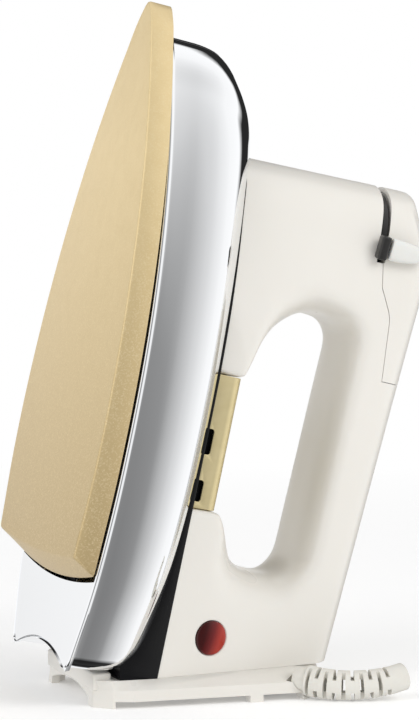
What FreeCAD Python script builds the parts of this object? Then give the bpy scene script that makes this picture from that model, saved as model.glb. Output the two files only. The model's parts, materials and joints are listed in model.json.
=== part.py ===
"""A heavy dry clothes iron that stands on its heel.  Millimetres, +Z up.

Two frames are used.  The world frame has the floor at Z = 0, the soleplate facing -X and the
handle on the +X side.  The sole frame leans with the iron: its x is the height above the sole's
face, its y runs across the iron and its z runs from the sole's rear corners to its nose.
"""
import FreeCAD
import Part
import Sketcher
import math
import os
from FreeCAD import Placement, Rotation, Vector

doc = FreeCAD.newDocument("clothes_iron")
sheet = doc.addObject("Spreadsheet::Sheet", "Sizes")

# ---------------------------------------------------------------- driving dimensions
SIZES = {
    # stance on the heel
    "lean": 12.37,                # degrees between the sole's face and upright
    "rear_corner_x": -75.23,      # world place of the sole's rear corners
    "rear_corner_height": 57.43,
    # soleplate
    "sole_length": 204.0,         # rear corners to nose
    "sole_width": 109.8,
    "sole_thick": 9.0,
    "sole_face_bow": 2.2,         # the rear edge's bulge behind its corners, at the face
    "sole_top_bow": 4.5,          # the same at the plate's upper side
    "sole_rear_slant": 5.5,       # how much farther back the upper side reaches at those corners
    "sole_edge_round": 0.8,
    "lip_gap": 1.0,               # shadow gap between the soleplate and the cover's lip
    # stack on the soleplate
    "stack_inset": 7.0,           # element stack's margin inside the sole's outline
    "stack_rear_bow": 6.8,
    "mica_thick": 0.8,
    "insulation_thick": 1.2,
    "weight_thick": 10.0,
    "stud_radius": 2.5,
    "stud_length": 17.0,
    "stud_clearance": 0.4,
    "stud_place_rear": 48.0,
    "stud_to_lever": 37.5,        # the front stud lies this far behind the lever's axis
    "nut_across": 8.0,
    "nut_thick": 4.0,
    "bolt_radius": 2.5,
    "bolt_rear": 12.0,            # the two bolts that hold the handle down on the cover
    "bolt_front": 146.8,
    "spacer_radius": 5.0,
    # cover
    "cover_width": 109.6,
    "cover_nose": 193.8,          # nose of the cover, from the sole's rear corners
    "cover_tail": 43.0,           # how far the cover reaches behind the rear corners
    "cover_height": 40.4,         # lip to crown
    "cover_wall": 1.0,
    "tail_bow": 7.5,              # depth of the hollow in the cover's tail edge
    "tail_plate_thick": 1.6,
    "tail_gap": 1.2,
    # handle
    "handle_low": 46.0,           # height of its lower edge above the sole's face
    "handle_low_width": 67.0,     # across the posts at that height
    "handle_top_width": 37.0,     # across the grip's back
    "handle_top": 119.0,          # height where that width is measured
    "handle_wall": 3.5,
    "handle_floor": 7.0,
    "handle_rise": 128.2,         # highest point of the grip's back
    "skirt_wall": 3.0,
    "deck_rear": 24.5,            # gold deck plate between the posts
    "deck_front": 74.2,
    "deck_height": 56.4,
    "vent_height": 2.5,           # notches along the deck plate's lower edges
    "deck_wall": 1.2,
    "deck_fit": 0.2,
    # temperature lever
    "lever_axis": 137.5,          # place of the spindle's axis along the sole
    "slot_low": 102.2,
    "slot_height": 3.4,
    "slot_end": 127.7,            # rear end of the slot, where the cap meets the handle
    "disc_radius": 17.2,
    "disc_gap": 0.4,
    "disc_pocket_gap": 0.6,
    "lever_rest_angle": 101.0,    # from straight ahead, towards the near side
    "stem_width": 7.6,
    "finger_inner_radius": 21.1,
    "finger_thick": 3.0,
    "finger_low": 100.6,
    "finger_high": 121.0,
    "spindle_radius": 3.0,
    "spindle_running_gap": 0.05,
    "spindle_above_stack": 9.4,   # foot of the spindle above the weight
    "bush_wall": 1.6,
    "hub_radius": 6.0,
    "scale_radius": 9.0,
    "scale_thick": 1.4,
    "scale_slope": 15.0,          # degrees that the cap's top falls towards the nose
    # pilot lamp
    "lamp_along": -21.0,
    "lamp_height": 64.4,
    "lamp_radius": 6.3,
    "lamp_dome": 1.6,
    "lamp_flange": 1.4,
    "lamp_barrel": 4.6,
    "lamp_wall": 1.0,
    # heel base
    "base_height": 10.0,
    "base_clearance": 2.6,        # underside of its wall above the floor
    "base_half_width": 38.3,
    "base_wall": 3.0,
    "base_ledge": 6.6,            # height where the upright wall gives way to the ledge
    "toe_rise": 12.4,
    # cord guard
    "guard_root_radius": 5.7,
    "guard_end_radius": 5.1,
    "guard_bore": 3.3,
    "guard_slot": 1.3,
    "guard_pitch": 6.1,
    "guard_collar": 6.4,          # the plain module at its free end
    "guard_neck": 5.0,            # how far the guard reaches into the base
    # fasteners
    "screw_radius": 2.0,
    "screw_head_radius": 3.8,
    "screw_head_thick": 2.4,
}
for row, (alias, value) in enumerate(SIZES.items(), start=1):
    sheet.set(f"A{row}", alias)
    sheet.set(f"B{row}", str(value))
    sheet.setAlias(f"B{row}", alias)
doc.recompute()


def size(alias):
    """The value of one cell of the sheet."""
    return float(sheet.get(alias))


def bind(item, prop, expression):
    """Ties one property of an object to the sheet."""
    for alias in sorted(SIZES, key=len, reverse=True):
        expression = expression.replace(f"<{alias}>", f"Sizes.{alias}")
    item.setExpression(prop, expression)


X_AXIS = Vector(1, 0, 0)
Y_AXIS = Vector(0, 1, 0)
Z_AXIS = Vector(0, 0, 1)
SOLE_FRAME = Placement(Vector(size("rear_corner_x"), 0, size("rear_corner_height")),
                       Rotation(Y_AXIS, size("lean")))
UP_ALONG_X = Rotation(Y_AXIS, 90)          # turns an upright solid to stand on the sole's face
nodes = []


def in_sole(along, across, height, turn=Rotation()):
    """Placement of a solid whose origin is at a point of the sole frame."""
    return SOLE_FRAME.multiply(Placement(Vector(height, across, along), turn))


def node(item, label):
    """Marks an object as a sub-part that is written to a file."""
    item.Label = label
    nodes.append(item)
    return item


def solid(label, shape, placement=Placement()):
    """A sub-part whose free-form shape is made with Part's own functions."""
    item = doc.addObject("Part::Feature", label)
    item.Shape = shape
    item.Placement = placement
    return node(item, label)


# ---------------------------------------------------------------- outlines in the sole frame
# Half width against distance from the rear corners, both as shares, for the sole and the cover.
SOLE_OUTLINE = ((0.0, 0.929), (0.15, 1.0), (0.42, 0.947), (0.70, 0.667), (0.91, 0.275), (0.975, 0.115))
NOSE_INSET = 1.6               # how much faster an inset outline draws back at its pointed nose
COVER_OUTLINE = ((0.0, 0.66), (0.155, 0.905), (0.25, 0.975), (0.36, 1.0), (0.53, 0.95), (0.76, 0.66),
                 (0.92, 0.29), (0.98, 0.11))


def plan_wire(shares, half_width, rear, nose, height, rear_bow):
    """A closed plan outline: a curve round the nose and an arc across the rear.

    A positive bow bulges backwards, a negative one is hollow.
    """
    length = nose - rear
    side = [Vector(height, half_width * wide, rear + length * far) for far, wide in shares]
    other_side = [Vector(point.x, -point.y, point.z) for point in reversed(side)]
    curve = Part.BSplineCurve()
    curve.interpolate(side + [Vector(height, 0, nose)] + other_side)
    rear_arc = Part.Arc(other_side[-1], Vector(height, 0, rear - rear_bow), side[0])
    return Part.Wire([curve.toShape(), rear_arc.toShape()])


def slab(wire, thick):
    """A plan outline given a thickness away from the sole."""
    return Part.Face(wire).extrude(Vector(thick, 0, 0))


def stack_wire(inset, height):
    """The outline of the plates that lie on the sole, smaller than the sole by an inset."""
    return plan_wire(SOLE_OUTLINE, size("sole_width") / 2 - inset, inset,
                     size("sole_length") - NOSE_INSET * inset, height, size("stack_rear_bow"))


def stack_slab(inset, low, thick):
    return slab(stack_wire(inset, low), thick)


def sole_wire(height, rear_bow, slant, grow=0.0):
    """The sole's outline at one height, its rear corners set back by the slant."""
    half = size("sole_width") / 2 + grow
    length = size("sole_length") + grow
    side = [Vector(height, half * wide, length * far) for far, wide in SOLE_OUTLINE]
    side[0].z -= slant + grow
    other_side = [Vector(point.x, -point.y, point.z) for point in reversed(side)]
    curve = Part.BSplineCurve()
    curve.interpolate(side + [Vector(height, 0, length)] + other_side)
    rear_arc = Part.Arc(other_side[-1], Vector(height, 0, -slant - grow - rear_bow), side[0])
    return Part.Wire([curve.toShape(), rear_arc.toShape()])


def peg(along, across, low, high, radius):
    """A round solid that stands up from the sole's face."""
    return Part.makeCylinder(radius, high - low, Vector(low, across, along), X_AXIS)


def block(along, across, height):
    """A box in the sole frame from its three (low, high) pairs."""
    corner = Vector(height[0], across[0], along[0])
    return Part.makeBox(height[1] - height[0], across[1] - across[0], along[1] - along[0], corner)


# ---------------------------------------------------------------- soleplate and what is on it
STUD_PLACES = (size("stud_place_rear"), size("lever_axis") - size("stud_to_lever"))


def plate_on_stack(label, base_shape, thick_alias):
    """Extrudes an outline to a thickness that the sheet holds."""
    outline = doc.addObject("Part::Feature", label + "_outline")
    outline.Shape = base_shape
    plate = doc.addObject("Part::Extrusion", label + "_plate")
    plate.Base = outline
    plate.DirMode = "Custom"
    plate.Dir = X_AXIS
    plate.Solid = True
    bind(plate, "LengthFwd", f"<{thick_alias}>")
    return plate


def drilled(label, plate, radius_expression):
    """Cuts the two stud holes through a plate of the stack."""
    drills = []
    for index, along in enumerate(STUD_PLACES):
        drill = doc.addObject("Part::Cylinder", f"{label}_drill_{index}")
        bind(drill, "Radius", radius_expression)
        drill.Height = 200
        drill.Placement = Placement(Vector(-50, 0, along), UP_ALONG_X)
        drills.append(drill)
    tool = doc.addObject("Part::MultiFuse", label + "_drills")
    tool.Shapes = drills
    cut = doc.addObject("Part::Cut", label)
    cut.Base = plate
    cut.Tool = tool
    cut.Placement = SOLE_FRAME
    return node(cut, label)


MICA_LOW = size("sole_thick")
INSULATION_LOW = MICA_LOW + size("mica_thick")
WEIGHT_LOW = INSULATION_LOW + size("insulation_thick")
WEIGHT_HIGH = WEIGHT_LOW + size("weight_thick")


def build_soleplate():
    face = sole_wire(0, size("sole_face_bow"), 0)
    upper = sole_wire(size("sole_thick"), size("sole_top_bow"), size("sole_rear_slant"))
    plate = doc.addObject("Part::Feature", "soleplate_plate")
    plate.Shape = Part.makeLoft([face, upper], True, True)
    face_edges = [index + 1 for index, edge in enumerate(plate.Shape.Edges)
                  if edge.BoundBox.XMax < 0.01]
    rounded = doc.addObject("Part::Fillet", "soleplate")
    rounded.Base = plate
    radius = size("sole_edge_round")
    rounded.Edges = [(index, radius, radius) for index in face_edges]
    rounded.Placement = SOLE_FRAME
    node(rounded, "soleplate")


def build_stack():
    inset = size("stack_inset")
    hole = "<stud_radius> + <stud_clearance>"
    mica = plate_on_stack("mica", stack_wire(inset, MICA_LOW), "mica_thick")
    drilled("mica_heating_element", mica, hole)
    insulation = plate_on_stack("sheet", stack_wire(inset, INSULATION_LOW), "insulation_thick")
    drilled("insulation_sheet", insulation, hole)
    weight = plate_on_stack("weight", stack_wire(inset, WEIGHT_LOW), "weight_thick")
    drilled("pressure_plate", weight, hole)


def build_studs():
    studs = []
    nuts = []
    for along in STUD_PLACES:
        low = size("sole_thick")
        stud = peg(along, 0, low, low + size("stud_length"), size("stud_radius"))
        studs.append(stud)
        across = size("nut_across") / math.sqrt(3)
        corners = [Vector(WEIGHT_HIGH, across * math.sin(step * math.pi / 3),
                          along + across * math.cos(step * math.pi / 3)) for step in range(7)]
        nut = Part.Face(Part.makePolygon(corners)).extrude(Vector(size("nut_thick"), 0, 0))
        nuts.append(nut.cut(stud))
    solid("sole_studs", Part.Compound(studs), SOLE_FRAME)
    solid("stud_nuts", Part.Compound(nuts), SOLE_FRAME)


def build_element_terminals():
    """Two flat tags that rise from the element past the weight, with ceramic beads."""
    tags = []
    beads = []
    along = size("stack_inset") - size("stack_rear_bow") - 4.5
    for side in (-1, 1):
        across = side * 14.0
        tag = block((along, along + 1.0), (across - 2.5, across + 2.5), (MICA_LOW + 0.1, WEIGHT_HIGH + 9))
        foot = block((along, along + 5.0), (across - 2.5, across + 2.5), (MICA_LOW + 0.1, MICA_LOW + 0.7))
        tags.append(tag.fuse(foot.cut(stack_slab(size("stack_inset") - 0.05, 0, 60))))
        bead = peg(along + 0.5, across, MICA_LOW + 4, WEIGHT_HIGH + 4, 3.2)
        slot = block((along - 0.1, along + 1.1), (across - 2.7, across + 2.7), (0, 60))
        beads.append(bead.cut(slot).cut(stack_slab(size("stack_inset") - 0.2, 0, 60)))
    solid("element_tags", Part.Compound(tags), SOLE_FRAME)
    solid("ceramic_beads", Part.Compound(beads), SOLE_FRAME)


# ---------------------------------------------------------------- cover
LEADS_ALONG = -8.0              # where the leads pass up from the cover into the handle
LIP = size("sole_thick") + size("lip_gap")
# Rise above the lip as a share of the cover's height, and the margins there: side, nose, tail.
COVER_SECTIONS = ((0.0, 0.0, 0.0, 0.0), (0.33, 0.6, 0.4, 0.8), (0.50, 2.3, 2.4, 3.0),
                  (0.62, 4.8, 5.8, 7.0), (0.73, 9.3, 10.8, 13.5), (0.82, 16.0, 16.0, 23.0),
                  (0.90, 25.5, 22.5, 36.0), (0.96, 37.0, 30.5, 56.0), (1.0, 48.5, 42.0, 84.0))


def cover_solid(inset):
    """The cover's dome as a filled solid, smaller by an inset all round."""
    wires = []
    full_half = size("cover_width") / 2
    for share, side, nose, tail in COVER_SECTIONS:
        height = LIP + share * (size("cover_height") - inset)
        half = full_half - side - inset
        outline = []
        for far, wide in COVER_OUTLINE:
            ellipse = math.sqrt(1 - ((far - 0.36) / 0.64) ** 2) if far > 0.36 else wide
            outline.append((far, wide + 0.8 * share ** 2 * (ellipse - wide)))
        wires.append(plan_wire(outline, half, -size("cover_tail") + tail + inset,
                               size("cover_nose") - nose - NOSE_INSET * inset, height,
                               -size("tail_bow") * half / full_half))
    return Part.makeLoft(wires, True, False)


def build_cover(dome):
    wall = size("cover_wall")
    shell = dome.cut(cover_solid(wall))
    bore = peg(size("lever_axis"), 0, 20, 80, size("spindle_radius") + 2)
    solid("cover", shell.cut(bore).cut(lead_hole()).cut(handle_bolt_holes()), SOLE_FRAME)


def lead_hole():
    return peg(LEADS_ALONG, 0, 20, 80, 6)


def handle_bolt_holes():
    radius = size("bolt_radius") + size("stud_clearance")
    return peg(size("bolt_rear"), 0, 20, 80, radius).fuse(peg(size("bolt_front"), 0, 20, 80, radius))


def build_tail_plate():
    """The bright plate that closes the cover behind the soleplate."""
    inset = size("cover_wall") + 0.1
    outline = plan_wire(COVER_OUTLINE, size("cover_width") / 2 - inset, -size("cover_tail") + inset,
                        size("cover_nose") - NOSE_INSET * inset, LIP + 0.4, -size("tail_bow"))
    plate = slab(outline, size("tail_plate_thick"))
    plate = plate.common(block((-100, 6), (-80, 80), (0, 40)))
    sole_room = slab(sole_wire(0, size("sole_top_bow"), size("sole_rear_slant"), size("tail_gap")), 60)
    plate = plate.cut(sole_room).common(cover_solid(inset))
    solid("tail_plate", plate, SOLE_FRAME)


# ---------------------------------------------------------------- handle
# Plan outline of the handle at its lower edge and across its back: (along, half width share).
HANDLE_LOW_OUTLINE = ((-60, 1.0), (-10, 1.0), (40, 1.0), (74, 0.985), (104, 0.88), (130, 0.68), (151, 0.41))
HANDLE_TOP_OUTLINE = ((-60, 1.06), (-10, 1.0), (40, 0.96), (74, 0.96), (104, 0.98), (134, 1.0), (152, 0.68))
HEEL_ORIGIN = 61.2             # the heel's outlines count from this far in front of the rear corners
HANDLE_NOSE_LOW = 156.0
HANDLE_NOSE_TOP = 157.6


def handle_block(inset, low, high):
    """The tapering mass that the handle, the cap, the skirt and the deck are cut from."""
    wires = []
    reach = size("handle_top") - size("handle_low")
    for height in (low, high):
        share = (height - size("handle_low")) / reach
        points = []
        for near, far in zip(HANDLE_LOW_OUTLINE, HANDLE_TOP_OUTLINE):
            along = near[0] + share * (far[0] - near[0])
            low_half = near[1] * size("handle_low_width") / 2
            top_half = far[1] * size("handle_top_width") / 2
            points.append(Vector(height, low_half + share * (top_half - low_half) - inset, along))
        points[-1].z -= inset
        points[-1].y += inset * 0.5
        nose = HANDLE_NOSE_LOW + share * (HANDLE_NOSE_TOP - HANDLE_NOSE_LOW) - inset
        other = [Vector(point.x, -point.y, point.z) for point in reversed(points)]
        curve = Part.BSplineCurve()
        curve.interpolate(points + [Vector(height, 0, nose)] + other)
        wires.append(Part.Wire([curve.toShape(), Part.makeLine(other[-1], points[0])]))
    return Part.makeLoft(wires, True, True)


def side_prism(points, half_width=80):
    """A prism across the iron from a closed side profile of (along, height, corner radius)."""
    count = len(points)
    edges = []
    corners = []
    for index, (along, height, radius) in enumerate(points):
        here = Vector(height, 0, along)
        before = Vector(points[index - 1][1], 0, points[index - 1][0])
        after = Vector(points[(index + 1) % count][1], 0, points[(index + 1) % count][0])
        back = (before - here).normalize()
        ahead = (after - here).normalize()
        half_turn = back.getAngle(ahead) / 2
        if radius == 0:
            corners.append((here, None, here))
            continue
        reach = radius / math.tan(half_turn)
        middle = (back + ahead).normalize()
        apex = here + middle * (radius / math.sin(half_turn) - radius)
        corners.append((here + back * reach, apex, here + ahead * reach))
    for index, (start, apex, end) in enumerate(corners):
        if apex is not None:
            edges.append(Part.Arc(start, apex, end).toShape())
        next_start = corners[(index + 1) % count][0]
        if end.distanceToPoint(next_start) > 1e-6:
            edges.append(Part.makeLine(end, next_start))
    face = Part.Face(Part.Wire(edges))
    face.translate(Vector(0, -half_width, 0))
    return face.extrude(Vector(0, 2 * half_width, 0))


def back_profile():
    """Everything under the back of the handle, seen from the side."""
    rise = size("handle_rise")
    return side_prism([(-90, 0, 0), (-90, rise - 13.5, 0), (-30, rise - 9.2, 60), (62, rise - 3.2, 300),
                       (123, rise + 0.6, 40), (147, rise - 6.5, 40), (157.5, rise - 11.5, 8),
                       (170, rise - 60, 0),
                       (170, 0, 0)])


def opening_profile():
    """The finger opening, down to where the deck plate lies between the posts."""
    rear = size("deck_rear")
    front = size("deck_front")
    return side_prism([(rear, 20, 0), (front, 20, 0), (front, 58.9, 0), (94, 66.8, 18), (103.6, 77, 14),
                       (103.2, 99.6, 9), (3.5, 97.0, 11), (5.6, 73.5, 14), (rear, 59.6, 0)])


def parting_profile(drop):
    """Everything above the line where the cap meets the handle.

    A drop lowers only the stretch that the lever's slot takes, in front of the slot's end.
    """
    end = size("slot_end")
    top = size("slot_low") + size("slot_height")
    return side_prism([(end, top - drop, 0), (end, top - 0.6, 0), (118.7, top + 0.9, 3),
                       (108.5, 112.4, 14), (84.2, 114.6, 0), (84.2, 150, 0), (190, 150, 0),
                       (190, top - drop, 0)])


def heel_cut(lift):
    """Everything in the world frame below the seam between handle and heel base."""
    box = Part.makeBox(400, 400, 200, Vector(-200, -200, size("base_height") + lift - 200))
    return into_sole(box)


def into_sole(shape):
    """The same solid of the world frame, given in the sole frame."""
    return shape.transformed(SOLE_FRAME.inverse().toMatrix())


def heel_screw_places():
    """World places of the four screws that hold the heel base under the handle."""
    shift = size("rear_corner_x") + HEEL_ORIGIN
    return [(along + shift, side * across) for along, across in ((-17.0, 24.0), (33.0, 13.0))
            for side in (-1, 1)]


def heel_bosses():
    high = size("base_height")
    bosses = [Part.makeCylinder(4.4, 24, Vector(x, y, high)) for x, y in heel_screw_places()]
    return into_sole(Part.Compound(bosses))


def heel_screw_shanks():
    high = size("base_height")
    radius = size("screw_radius")
    shanks = [Part.makeCylinder(radius, 19.5, Vector(x, y, high - 3.5)) for x, y in heel_screw_places()]
    return into_sole(Part.Compound(shanks))


def disc_pocket():
    radius = size("disc_radius") + size("disc_pocket_gap")
    low = size("slot_low")
    return peg(size("lever_axis"), 0, low, low + size("slot_height"), radius)


CAP_SCREW_ALONG = 93.0
CAP_SCREW_LOW = 101.2           # underside of its head
CAP_SCREW_HIGH = 121.0


def cap_screw_shape(grow):
    """The screw that holds the cap, up through the grip."""
    neck = CAP_SCREW_LOW + size("screw_head_thick")
    shank = peg(CAP_SCREW_ALONG, 0, neck, CAP_SCREW_HIGH, size("screw_radius") + grow)
    head = peg(CAP_SCREW_ALONG, 0, CAP_SCREW_LOW, neck, size("screw_head_radius") + grow)
    return shank.fuse(head)


def cap_screw_room():
    """The screw's bore, with a well below its head that opens in the grip's underside."""
    radius = size("screw_head_radius") + 0.15
    well = peg(CAP_SCREW_ALONG, 0, size("handle_low") + 40, CAP_SCREW_LOW + 1, radius)
    return cap_screw_shape(0.15).fuse(well)


def build_handle(dome):
    low = size("handle_low")
    wall = size("handle_wall")
    outer = handle_block(0, low, 135).common(back_profile()).cut(opening_profile())
    body = outer.cut(parting_profile(size("slot_height")))
    body = body.cut(disc_pocket())
    inner = handle_block(wall, low - 2, 112)
    floor = low + size("handle_floor")
    rear_room = inner.common(block((-70, 1.0), (-60, 60), (floor, 88)).fuse(
        block((-70, -9), (-60, 60), (87, 106))))
    bolt_room = block((-1, size("bolt_rear") + 6.5), (-9, 9), (floor, 59))
    front_room = inner.common(block((108, 152), (-60, 60), (floor, 96)))
    bosses = heel_bosses().common(rear_room)
    body = body.cut(rear_room).cut(bolt_room).cut(front_room).fuse(bosses)
    bush_hole = peg(size("lever_axis"), 0, 20, 110, size("spindle_radius") + size("bush_wall"))
    body = body.cut(bush_hole).cut(lead_hole()).cut(handle_bolt_holes()).cut(heel_screw_shanks())
    body = body.cut(cap_screw_room())
    body = body.cut(dome).cut(heel_cut(0))
    body = body.cut(lamp_hole())
    solid("handle", body, SOLE_FRAME)
    cap = outer.common(parting_profile(0)).cut(disc_pocket())
    hub_room = peg(size("lever_axis"), 0, 100, size("slot_low") + size("slot_height") + 5,
                   size("hub_radius") + 0.6)
    cap = cap.cut(hub_room).cut(scale_disc_shape(0.05)).cut(cap_screw_shape(0.0))
    solid("handle_cap", cap, SOLE_FRAME)


def build_skirt(dome):
    """The black moulding between the cover and the white handle."""
    outer = handle_block(-0.6, 14, size("handle_low"))
    inner = handle_block(size("skirt_wall"), 10, size("handle_low") + 1)
    wall = outer.cut(inner)
    bridge = outer.common(block((-60, 152), (-60, 60), (size("handle_low") - 2, size("handle_low"))))
    shape = wall.fuse(bridge).cut(dome).cut(heel_cut(0)).cut(lead_hole()).cut(handle_bolt_holes())
    shape = shape.cut(peg(size("lever_axis"), 0, 20, 80, size("spindle_radius") + 2))
    solids = sorted(shape.Solids, key=lambda piece: piece.Volume)
    solid("skirt", solids[-1], SOLE_FRAME)


VENT_NOTCHES = ((27.1, 34.9), (44.5, 53.9))     # where they start and end along the sole


def build_deck(dome):
    """The gold plate between the posts, with vent notches along its lower edges."""
    fit = size("deck_fit")
    rear = size("deck_rear") + fit
    front = size("deck_front") - fit
    high = size("deck_height")
    low = size("handle_low") + 0.1
    span = block((rear, front), (-60, 60), (low, high))
    outer = handle_block(0.4, low, high).common(span)
    corner_edges = [edge for edge in outer.Edges
                    if abs(edge.BoundBox.XMin - high) < 0.05 and edge.BoundBox.ZLength > 20]
    outer = outer.makeFillet(3.2, corner_edges)
    wall = size("deck_wall")
    inner = handle_block(0.4 + wall, low - 1, high - wall).common(
        block((rear + wall, front - wall), (-60, 60), (low - 1, high - wall)))
    shell = outer.cut(inner)
    for start, end in VENT_NOTCHES:
        notch = block((start, end), (-60, 60), (low - 1, low + size("vent_height")))
        shell = shell.cut(notch)
    solid("deck_plate", shell.cut(dome), SOLE_FRAME)


# ---------------------------------------------------------------- temperature lever
def scale_disc_shape(grow):
    """The gold scale disc lies in a shallow recess in the cap's sloping top."""
    radius = size("scale_radius") + grow
    along = size("lever_axis") - 0.5
    centre_height = size("handle_rise") - 4.2
    normal = Vector(math.cos(math.radians(size("scale_slope"))), 0,
                    math.sin(math.radians(size("scale_slope"))))
    foot = Vector(centre_height, 0, along) - normal * (size("scale_thick") - 0.4 + grow)
    return Part.makeCylinder(radius, size("scale_thick") + grow, foot, normal)


def lever_sector(low, high, half, reach):
    """A bar from the lever's axis out towards where the finger rests."""
    bar = Part.makeBox(high - low, 2 * half, reach, Vector(low, -half, 0))
    bar.rotate(Vector(0, 0, 0), X_AXIS, size("lever_rest_angle"))
    bar.translate(Vector(0, 0, size("lever_axis")))
    return bar


def build_lever():
    axis = size("lever_axis")
    low = size("slot_low") + size("disc_gap")
    high = size("slot_low") + size("slot_height") - size("disc_gap")
    disc = peg(axis, 0, low, high, size("disc_radius"))
    half = size("stem_width") / 2
    inner_radius = size("finger_inner_radius")
    stem = lever_sector(low, high, half, inner_radius + 0.6)
    hub = peg(axis, 0, high, high + 4.5, size("hub_radius"))
    bore = peg(axis, 0, 80, 130, size("spindle_radius"))
    solid("lever_disc", disc.fuse(stem).fuse(hub).cut(bore).removeSplitter(), SOLE_FRAME)
    low = size("finger_low")
    high = size("finger_high")
    outer_radius = inner_radius + size("finger_thick")
    ring = peg(axis, 0, low, high, outer_radius).cut(peg(axis, 0, low, high, inner_radius))
    finger = ring.common(lever_sector(low, high, half, 2 * outer_radius))
    solid("lever_finger", finger.cut(disc.fuse(stem)), SOLE_FRAME)


def revolved(label, vertices, placement):
    """A body turned about its own x axis from (x, radius) expressions of the sheet."""
    body = doc.addObject("PartDesign::Body", label)
    plane = [item for item in body.Origin.OriginFeatures if item.Role == "XZ_Plane"][0]
    sketch = body.newObject("Sketcher::SketchObject", label + "_profile")
    sketch.AttachmentSupport = [(plane, "")]
    sketch.MapMode = "FlatFace"
    doc.recompute()
    values = []
    for expressions in vertices:
        pair = []
        for expression in expressions:
            for alias in sorted(SIZES, key=len, reverse=True):
                expression = expression.replace(f"<{alias}>", f"({SIZES[alias]})")
            pair.append(sum_of(expression))
        values.append(Vector(pair[0], pair[1], 0))
    count = len(values)
    for index in range(count):
        sketch.addGeometry(Part.LineSegment(values[index], values[(index + 1) % count]), False)
    for index in range(count):
        sketch.addConstraint(Sketcher.Constraint("Coincident", index, 2, (index + 1) % count, 1))
    for index, (along, radius) in enumerate(vertices):
        number = sketch.addConstraint(
            Sketcher.Constraint("DistanceX", -1, 1, index, 1, values[index].x))
        bind(sketch, f"Constraints[{number}]", along)
        number = sketch.addConstraint(
            Sketcher.Constraint("DistanceY", -1, 1, index, 1, values[index].y))
        bind(sketch, f"Constraints[{number}]", radius)
    turned = body.newObject("PartDesign::Revolution", label + "_turned")
    turned.Profile = sketch
    turned.ReferenceAxis = (sketch, ["H_Axis"])
    turned.Angle = 360
    body.Placement = placement
    return node(body, label)


def sum_of(expression):
    """The value of an expression that holds only numbers, plus signs and minus signs."""
    total = 0.0
    for term in expression.replace(" - ", " + -").split(" + "):
        sign = 1.0
        if term.startswith("-("):
            sign = -1.0
            term = term[1:]
        total += sign * float(term.strip("()"))
    return total


def build_spindle():
    bottom = in_sole(size("lever_axis"), 0, WEIGHT_HIGH + size("spindle_above_stack"))
    stack = "<sole_thick> - <mica_thick> - <insulation_thick> - <weight_thick> - <spindle_above_stack>"
    top = "<slot_low> + <slot_height> - " + stack
    revolved("spindle", [("0", "0"), (top + " + 3", "0"), (top + " + 3", "<spindle_radius>"),
                         ("6", "<spindle_radius>"), ("6", "2.2"), ("0", "2.2")], bottom)
    bush_low = in_sole(size("lever_axis"), 0, size("slot_low") - 8)
    bore = "<spindle_radius> + <spindle_running_gap>"
    revolved("spindle_bush", [("0", bore), ("7.8", bore), ("7.8", "<spindle_radius> + <bush_wall>"),
                              ("1.8", "<spindle_radius> + <bush_wall>"), ("1.8", "7"), ("0", "7")], bush_low)
    clip_low = in_sole(size("lever_axis"), 0, size("slot_low") - 9.6)
    revolved("spindle_clip", [("0", "<spindle_radius>"), ("0.9", "<spindle_radius>"), ("0.9", "5.6"),
                              ("0", "5.6")], clip_low)


# ---------------------------------------------------------------- pilot lamp
def lamp_frame():
    """Origin at the lamp's centre on the handle's side, x outwards."""
    reach = size("handle_top") - size("handle_low")
    drop = (size("handle_low_width") - size("handle_top_width")) / 2
    half = size("handle_low_width") / 2 - drop * (size("lamp_height") - size("handle_low")) / reach
    taper = math.degrees(math.atan2(drop, reach))
    return Placement(Vector(size("lamp_height"), -half, size("lamp_along")), Rotation(Z_AXIS, -90 + taper))


def lamp_hole():
    bore = Part.makeCylinder(size("lamp_barrel") + 0.1, 12, Vector(-10, 0, 0), X_AXIS)
    recess = Part.makeCylinder(size("lamp_radius") + 0.15, 6, Vector(-size("lamp_flange"), 0, 0), X_AXIS)
    return bore.fuse(recess).transformed(lamp_frame().toMatrix())


def build_lamp():
    place = SOLE_FRAME.multiply(lamp_frame())
    back = place.multiply(Placement(Vector(-size("lamp_flange") - 7, 0, 0), Rotation()))
    barrel = "<lamp_barrel>"
    inside = "<lamp_barrel> - <lamp_wall>"
    rim = "<lamp_flange> + 7"
    revolved("lamp_lens", [("0", inside), ("6.4", inside), (rim, "2.6"), (rim, "0"),
                           (rim + " + <lamp_dome>", "0"), (rim + " + 1.45", "2.4"), (rim + " + 0.95", "4.3"),
                           (rim + " + 0.2", "5.8"), (rim, "<lamp_radius>"), ("7", "<lamp_radius>"),
                           ("7", barrel), ("0", barrel)], back)
    neon = back.multiply(Placement(Vector(-5, 0, 0), Rotation()))
    revolved("neon_lamp", [("0", "0"), ("0", "2.2"), ("9.5", "2.2"), ("11", "1.2"), ("11.4", "0")], neon)
    holder = back.multiply(Placement(Vector(-6.5, 0, 0), Rotation()))
    revolved("lamp_holder", [("0", "0"), ("0", "4"), ("6.4", "4"), ("6.4", "2.3"), ("1.4", "2.3"),
                             ("1.4", "0")], holder)


# ---------------------------------------------------------------- heel base
def world_loft(*levels):
    """A straight-sided solid through closed outlines, given as (height, points)."""
    wires = []
    for height, points in levels:
        corners = [Vector(x, y, height) for x, y in points]
        wires.append(Part.makePolygon(corners + corners[:1]))
    return Part.makeLoft(wires, True, True)


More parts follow.
